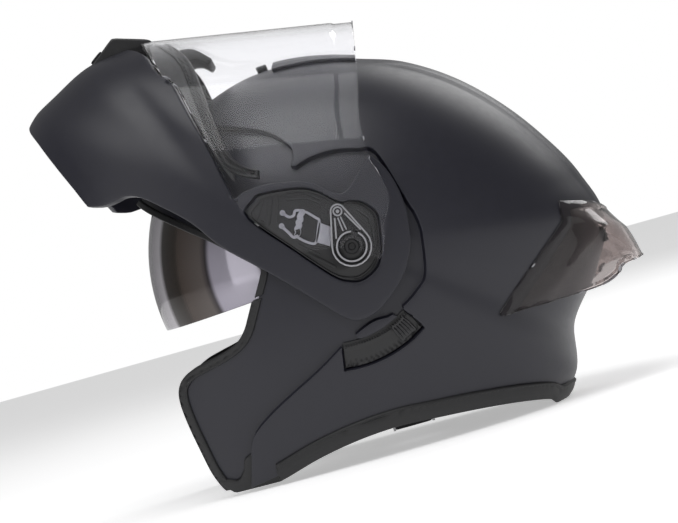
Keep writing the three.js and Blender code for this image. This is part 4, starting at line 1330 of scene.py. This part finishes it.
def finer(piece, groove=None, depth=0.0013):
    """One subdivision, then the sewn channels are pressed in."""
    fine = piece.modifiers.new("fine", "SUBSURF")
    fine.levels = fine.render_levels = 1
    piece.data = bpy.data.meshes.new_from_object(piece.evaluated_get(bpy.context.evaluated_depsgraph_get()))
    piece.modifiers.clear()
    if groove is not None:
        spots = np.array([tuple(v.co) for v in piece.data.vertices])
        normals = np.array([tuple(v.normal) for v in piece.data.vertices])
        press = np.exp(-(groove(spots / MM - HINGE / MM) / 1.7) ** 2)[:, None] * depth
        piece.data.vertices.foreach_set("co", (spots - normals * press).ravel())
    piece.data.shade_smooth()


def mirror_of(piece, name):
    mesh = piece.data.copy()
    mesh.name = name
    mesh.transform(Matrix.Diagonal((-1, 1, 1, 1)))
    mesh.flip_normals()
    made = bpy.data.objects.new(name, mesh)
    bpy.context.scene.collection.objects.link(made)
    return made


# %% [markdown]
# The impact liner, the cheek foam and the chin bar's liner are moulded foam beads: stiff, matt, with a
# fine bead pattern. They only need softened edges.

# %% Moulded foam
for node, name, voxel, body in (("impact_liner", "impact_liner_foam", 0.0028, "shell"),
                                ("cheek_foam_left", "cheek_foam_left_block", 0.003, "shell"),
                                ("cheek_foam_right", "cheek_foam_right_block", 0.003, "shell"),
                                ("chin_liner", "chin_liner_foam", 0.0026, "chin_bar")):
    dress(soft_copy(node, name, voxel, 3), node, foam, body)


# %% [markdown]
# The comfort pads are brushed cloth over soft foam. The crown pad is sewn in panels: a broad middle
# strip, two side strips and a cross seam. The cheek pads have one seam near the face.

# %% Comfort pads
def crown_seams(p):
    return np.minimum(np.abs(np.abs(p[..., 0]) - 30), np.abs(p[..., 1] - 22))


def cheek_seam(p):
    return np.minimum(np.abs(p[..., 2] + 76 + 0.25 * p[..., 1] + 12), np.abs(p[..., 1] + 52))


def comfort_pad(node, name, groove):
    pad = soft_copy(node, name, 0.005, 2, shrink=0.0006)
    blow_up(pad, cap=0.0022)
    finer(pad, groove)
    dress(pad, node, lining, "shell")
    return pad


comfort_pad("crown_pad", "crown_pad_cushion", crown_seams)
cheek = comfort_pad("cheek_pad_left", "cheek_pad_left_cushion", cheek_seam)
dress(mirror_of(cheek, "cheek_pad_right_cushion"), "cheek_pad_right", lining, "shell")
comfort_pad("neck_roll", "neck_roll_cushion", lambda p: np.abs(p[..., 2] + 96))

# %% [markdown]
# ## Chin strap
# The retention strap is woven webbing, riveted to the shell on both sides and closed by a ratchet
# buckle. Webbing is modelled directly: a flat band with rounded edges and a weave on its own UV map.


# %% Straps
def webbing_finish():
    made = finish("chin_strap_webbing", (0.014, 0.014, 0.016), 0.85, grain=1400, bump=0.05, Sheen_Weight=0.2)
    nodes, links = made.node_tree.nodes, made.node_tree.links
    own = nodes.new("ShaderNodeUVMap")
    own.uv_map = "weave"
    weave = nodes.new("ShaderNodeTexBrick")
    weave.offset = 0.5
    for label, value in (("Scale", 1.0), ("Brick Width", 1.6), ("Row Height", 0.8), ("Mortar Size", 0.12)):
        weave.inputs[label].default_value = value
    links.new(own.outputs["UV"], weave.inputs["Vector"])
    relief = nodes.new("ShaderNodeBump")
    relief.invert = True
    relief.inputs["Distance"].default_value = 0.25 * MM
    links.new(weave.outputs["Fac"], relief.inputs["Height"])
    links.new(relief.outputs["Normal"], nodes["Principled BSDF"].inputs["Normal"])
    return made


strap_cloth = webbing_finish()


def strap(name, node, route, width, thickness, flip):
    """A band along route points in millimetres, its width along y."""
    spine = smooth(route, 10, closed=False)
    spine[:, 0] *= flip
    along = np.gradient(spine, axis=0)
    along /= np.linalg.norm(along, axis=1)[:, None]
    out = np.cross(along, [0, 1, 0])
    out /= np.linalg.norm(out, axis=1)[:, None]
    turns = np.linspace(0, 2 * math.pi, 20, endpoint=False)
    u = np.sign(np.cos(turns)) * np.abs(np.cos(turns)) ** 0.25 * width / 2
    v = np.sign(np.sin(turns)) * np.abs(np.sin(turns)) ** 0.45 * thickness / 2
    rings = spine[:, None, :] + u[None, :, None] * np.array([0, 1, 0]) + v[None, :, None] * out[:, None, :]
    count, sides = rings.shape[:2]
    faces = [[j * sides + i, j * sides + (i + 1) % sides, (j + 1) * sides + (i + 1) % sides,
              (j + 1) * sides + i]
             for j in range(count - 1) for i in range(sides)]
    faces += [list(range(sides))[::-1], [(count - 1) * sides + i for i in range(sides)]]
    points = rings.reshape(-1, 3) - [0, 0, HINGE[2] / MM]
    piece = to_object(name, points, faces, strap_cloth, "shell", "strap_webbing", smooth_angle=60)
    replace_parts(piece, node)
    layer = piece.data.uv_layers.new(name="weave")
    across = np.array([tuple(v.co) for v in piece.data.vertices])
    run = np.concatenate([[0], np.cumsum(np.linalg.norm(np.diff(spine, axis=0), axis=1))])
    reach = np.array([run[np.argmin(((spine[:, [0, 2]] - (c[[0, 2]] / MM)) ** 2).sum(1))] for c in across])
    for loop in piece.data.loops:
        layer.data[loop.index].uv = (reach[loop.vertex_index], across[loop.vertex_index][1] / MM)
    return piece


STRAP_WIDTH, STRAP_WALL = 24, 2
LEFT_ROUTE = [(91, 12, 47), (84, 12, 34), (66, 11, 22), (47, 9, 15.5), (39, 9, 14)]
RIGHT_ROUTE = [(91, 12, 47), (84, 12, 34), (66, 11, 22), (40, 9, 13), (10, 8, 9), (-8, 8, 9)]
strap("chin_strap_left_webbing", "chin_strap_left", LEFT_ROUTE, STRAP_WIDTH, STRAP_WALL, 1)
strap("chin_strap_right_webbing", "chin_strap_right", RIGHT_ROUTE, STRAP_WIDTH, STRAP_WALL, -1)

# %% [markdown]
# ## Metal parts
# Turned bolts and pins, stamped hooks and anchors, and the ratchet buckle. All are bright plated steel.

# %% Metal parts
def hexagon(radius):
    return circle((0, 0), radius, 6)


bolt = merged(lathe([(109.9, 0), (109.9, 3.9), (119.9, 3.9), (119.9, 6.6), (120.2, 6.9), (121.1, 6.9),
                     (121.6, 6.3), (121.6, 2.3), (120.4, 2.1), (120.4, 0)], (0, 0)),
              slab([hexagon(8.6)], 109.8, 112.0, 0.3))
pair("hinge_bolt_turned", *bolt, steel, "shell", "steel", "hinge_bolt")
SUN_SPOT = tuple(sun_axis)
pin = lathe([(105.7, 0), (105.7, 4.5), (106.0, 4.9), (106.4, 4.9), (106.6, 4.6), (106.6, 2.5), (111.5, 2.5),
             (111.9, 2.1), (111.9, 0)], SUN_SPOT)
pair("sun_shield_pin_turned", *pin, steel, "shell", "steel", "sun_shield_pin")
HOOK = [(-59, 20.6), (-56, 19.8), (-47, 21.2), (-45.8, 22.6), (-46.4, 24.2), (-50.2, 24.0), (-51.4, 25.4),
        (-50.4, 26.8), (-46.8, 27.0), (-45.9, 28.4), (-48, 29.2), (-57.4, 29.0), (-59.4, 27.6)]
hook = merged(slab([smooth(HOOK, 3)], 116.1, 117.7, 0.3),
              lathe([(115.7, 0), (115.7, 1.4), (118.0, 1.4), (118.0, 0)], (-56.2, 24.4), 20))
pair("latch_hook_stamped", *hook, steel, "latch_hooks", "steel", "latch_hook")
PLATE = [(2.6, -77.4), (21.4, -77.4), (21.8, -76.6), (21.8, -72.6), (16.6, -68.6), (7.4, -68.6),
         (2.2, -72.6), (2.2, -76.6)]
anchor = merged(slab([PLATE, smooth([(4.6, -76), (19.4, -76), (19.4, -73.6), (4.6, -73.6)], 3)], 92.4, 94.2,
                     0.3),
                lathe([(91.9, 0), (91.9, 2.6), (94.4, 2.6), (95.2, 2.0), (95.4, 0)], (12, -70.9), 24))
pair("strap_anchor_stamped", *anchor, steel, "shell", "steel", "strap_anchor")
FRAME = [(-5.4, -118.6), (-3.9, -118.6), (-3.9, -113.2), (19.9, -113.2), (19.9, -118.6), (21.4, -118.6),
         (21.4, -111.3), (-5.4, -111.3)]
buckle = merged(slab([FRAME], 11.2, 36.8, 0.35),
                *[lathe([(x0, 0), (x0, 1.3), (x0 + 24, 1.3), (x0 + 24, 0)], spot, 20)
                                                 for x0, spot in ((12, (-1.6, -115)), (12, (17.6, -115)))])
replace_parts(to_object("strap_buckle_frame", *buckle, steel, "shell", "steel"), "strap_buckle")
LEVER = [(-1.9, -110.6), (17.9, -110.6), (17.9, -109.8), (15.6, -108.7), (0.4, -108.7), (-1.9, -109.8)]
lever = merged(slab([LEVER], 14.4, 43.0, 0.3),
               *[lathe([(x0, 0), (x0, 0.5), (x0 + 0.9, 0.5), (x0 + 0.9, 0)], (y, -108.7), 12)
                                                for x0 in (36, 38.4, 40.8) for y in (3, 5.5, 8, 10.5, 13)])
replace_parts(to_object("buckle_lever_stamped", *lever, steel, "buckle_lever", "steel"), "buckle_lever")


# %% [markdown]
# ## Stitches
# Two rows of thread hold each strap near its anchor. A node tree takes a line and a count, and sets one
# soft thread at each point, turned along the line.

# %% Geometry Nodes: stitches
def stitches(name, line, count, size, material, body, slot):
    """A row of short threads along a line of points, built by a node tree with named inputs."""
    tree = bpy.data.node_groups.new(name, "GeometryNodeTree")
    kinds = (("Line", "NodeSocketGeometry"), ("Count", "NodeSocketInt"), ("Thread", "NodeSocketVector"))
    keys = {label: tree.interface.new_socket(label, in_out="INPUT", socket_type=kind).identifier
            for label, kind in kinds}
    tree.interface.new_socket("Geometry", in_out="OUTPUT", socket_type="NodeSocketGeometry")
    nodes, links = tree.nodes, tree.links
    given, out = nodes.new("NodeGroupInput"), nodes.new("NodeGroupOutput")
    curve = nodes.new("GeometryNodeMeshToCurve")
    spots = nodes.new("GeometryNodeCurveToPoints")
    spots.mode = "COUNT"
    thread = nodes.new("GeometryNodeMeshCube")
    soft = nodes.new("GeometryNodeSubdivisionSurface")
    soft.inputs["Level"].default_value = 1
    row = nodes.new("GeometryNodeInstanceOnPoints")
    real = nodes.new("GeometryNodeRealizeInstances")
    dressed = nodes.new("GeometryNodeSetMaterial")
    dressed.inputs["Material"].default_value = material
    for a, b in ((given.outputs["Line"], curve.inputs["Mesh"]),
                 (curve.outputs["Curve"], spots.inputs["Curve"]),
                 (given.outputs["Count"], spots.inputs["Count"]),
                 (given.outputs["Thread"], thread.inputs["Size"]),
                 (thread.outputs["Mesh"], soft.inputs["Mesh"]),
                 (spots.outputs["Points"], row.inputs["Points"]),
                 (soft.outputs["Mesh"], row.inputs["Instance"]),
                 (spots.outputs["Rotation"], row.inputs["Rotation"]),
                 (row.outputs["Instances"], real.inputs["Geometry"]),
                 (real.outputs["Geometry"], dressed.inputs["Geometry"]),
                 (dressed.outputs["Geometry"], out.inputs["Geometry"])):
        links.new(a, b)
    path = bpy.data.meshes.new(name)
    path.from_pydata(np.asarray(line, float).tolist(), [(i, i + 1) for i in range(len(line) - 1)], [])
    holder = bpy.data.objects.new(name, path)
    bpy.context.scene.collection.objects.link(holder)
    modifier = holder.modifiers.new("row", "NODES")
    modifier.node_group = tree
    modifier[keys["Count"]] = count
    modifier[keys["Thread"]] = size
    mesh = bpy.data.meshes.new_from_object(holder.evaluated_get(bpy.context.evaluated_depsgraph_get()))
    points = np.array([tuple(v.co) for v in mesh.vertices])
    faces = [list(face.vertices) for face in mesh.polygons]
    bpy.data.objects.remove(holder)
    return to_object(name, points, faces, material, body, slot)


thread = finish("sewing_thread", (0.05, 0.05, 0.055), 0.7, grain=2600, bump=0.02)
for route, side_name, flip in ((LEFT_ROUTE, "left", 1), (RIGHT_ROUTE, "right", -1)):
    spine = smooth(route[:3], 10, closed=False)
    for place, dy in (("front", -9.5), ("rear", 9.5)):
        line = [(x * flip, y + dy, z - 128 - 0.95) for x, y, z in spine]
        stitches(f"strap_{side_name}_{place}_stitches", line, 15, (0.45, 0.45, 1.9), thread, "shell",
                 "strap_webbing")

# %% [markdown]
# ## Carry-over
# CAD pieces whose shape is right keep it and take a better material.

# %% Materials on the CAD pieces
by_slot = {"shell_paint": shell_paint, "black_rubber": rubber, "black_plastic": moulded, "steel": steel,
           "grey_plastic": grey_acetal, "impact_foam": foam, "lining_cloth": lining, "strap_webbing": webbing,
           "clear_polycarbonate": clear, "smoke_polycarbonate": smoke, "mirrored_smoke": mirror_smoke}
for part in frame["record"]["subparts"]:
    mesh = frame["nodes"][part["node"]].data
    mesh.materials.clear()
    mesh.materials.append(by_slot[part["material_slot"]])

# %% [markdown]
# ## Floor
# A pale floor that glows a little, to come close to the white of the backdrop.

# %% Floor
FLOOR_HALF = 6
FLOOR_GLOW = 0.42                # lifts the pale floor towards the white of the backdrop
corners = [(-FLOOR_HALF, -FLOOR_HALF, 0), (FLOOR_HALF, -FLOOR_HALF, 0), (FLOOR_HALF, FLOOR_HALF, 0),
           (-FLOOR_HALF, FLOOR_HALF, 0)]
floor_mesh = bpy.data.meshes.new("floor")
floor_mesh.from_pydata(corners, [], [(0, 1, 2, 3)])
floor_finish = finish("pale_floor", (0.93, 0.93, 0.935), 0.7, grain=40, bump=0.0, vary=0.01)
floor_shader = floor_finish.node_tree.nodes["Principled BSDF"]
floor_shader.inputs["Emission Color"].default_value = (1, 1, 1, 1)
floor_shader.inputs["Emission Strength"].default_value = FLOOR_GLOW
floor_mesh.materials.append(floor_finish)
floor = bpy.data.objects.new("floor", floor_mesh)
bpy.context.scene.collection.objects.link(floor)
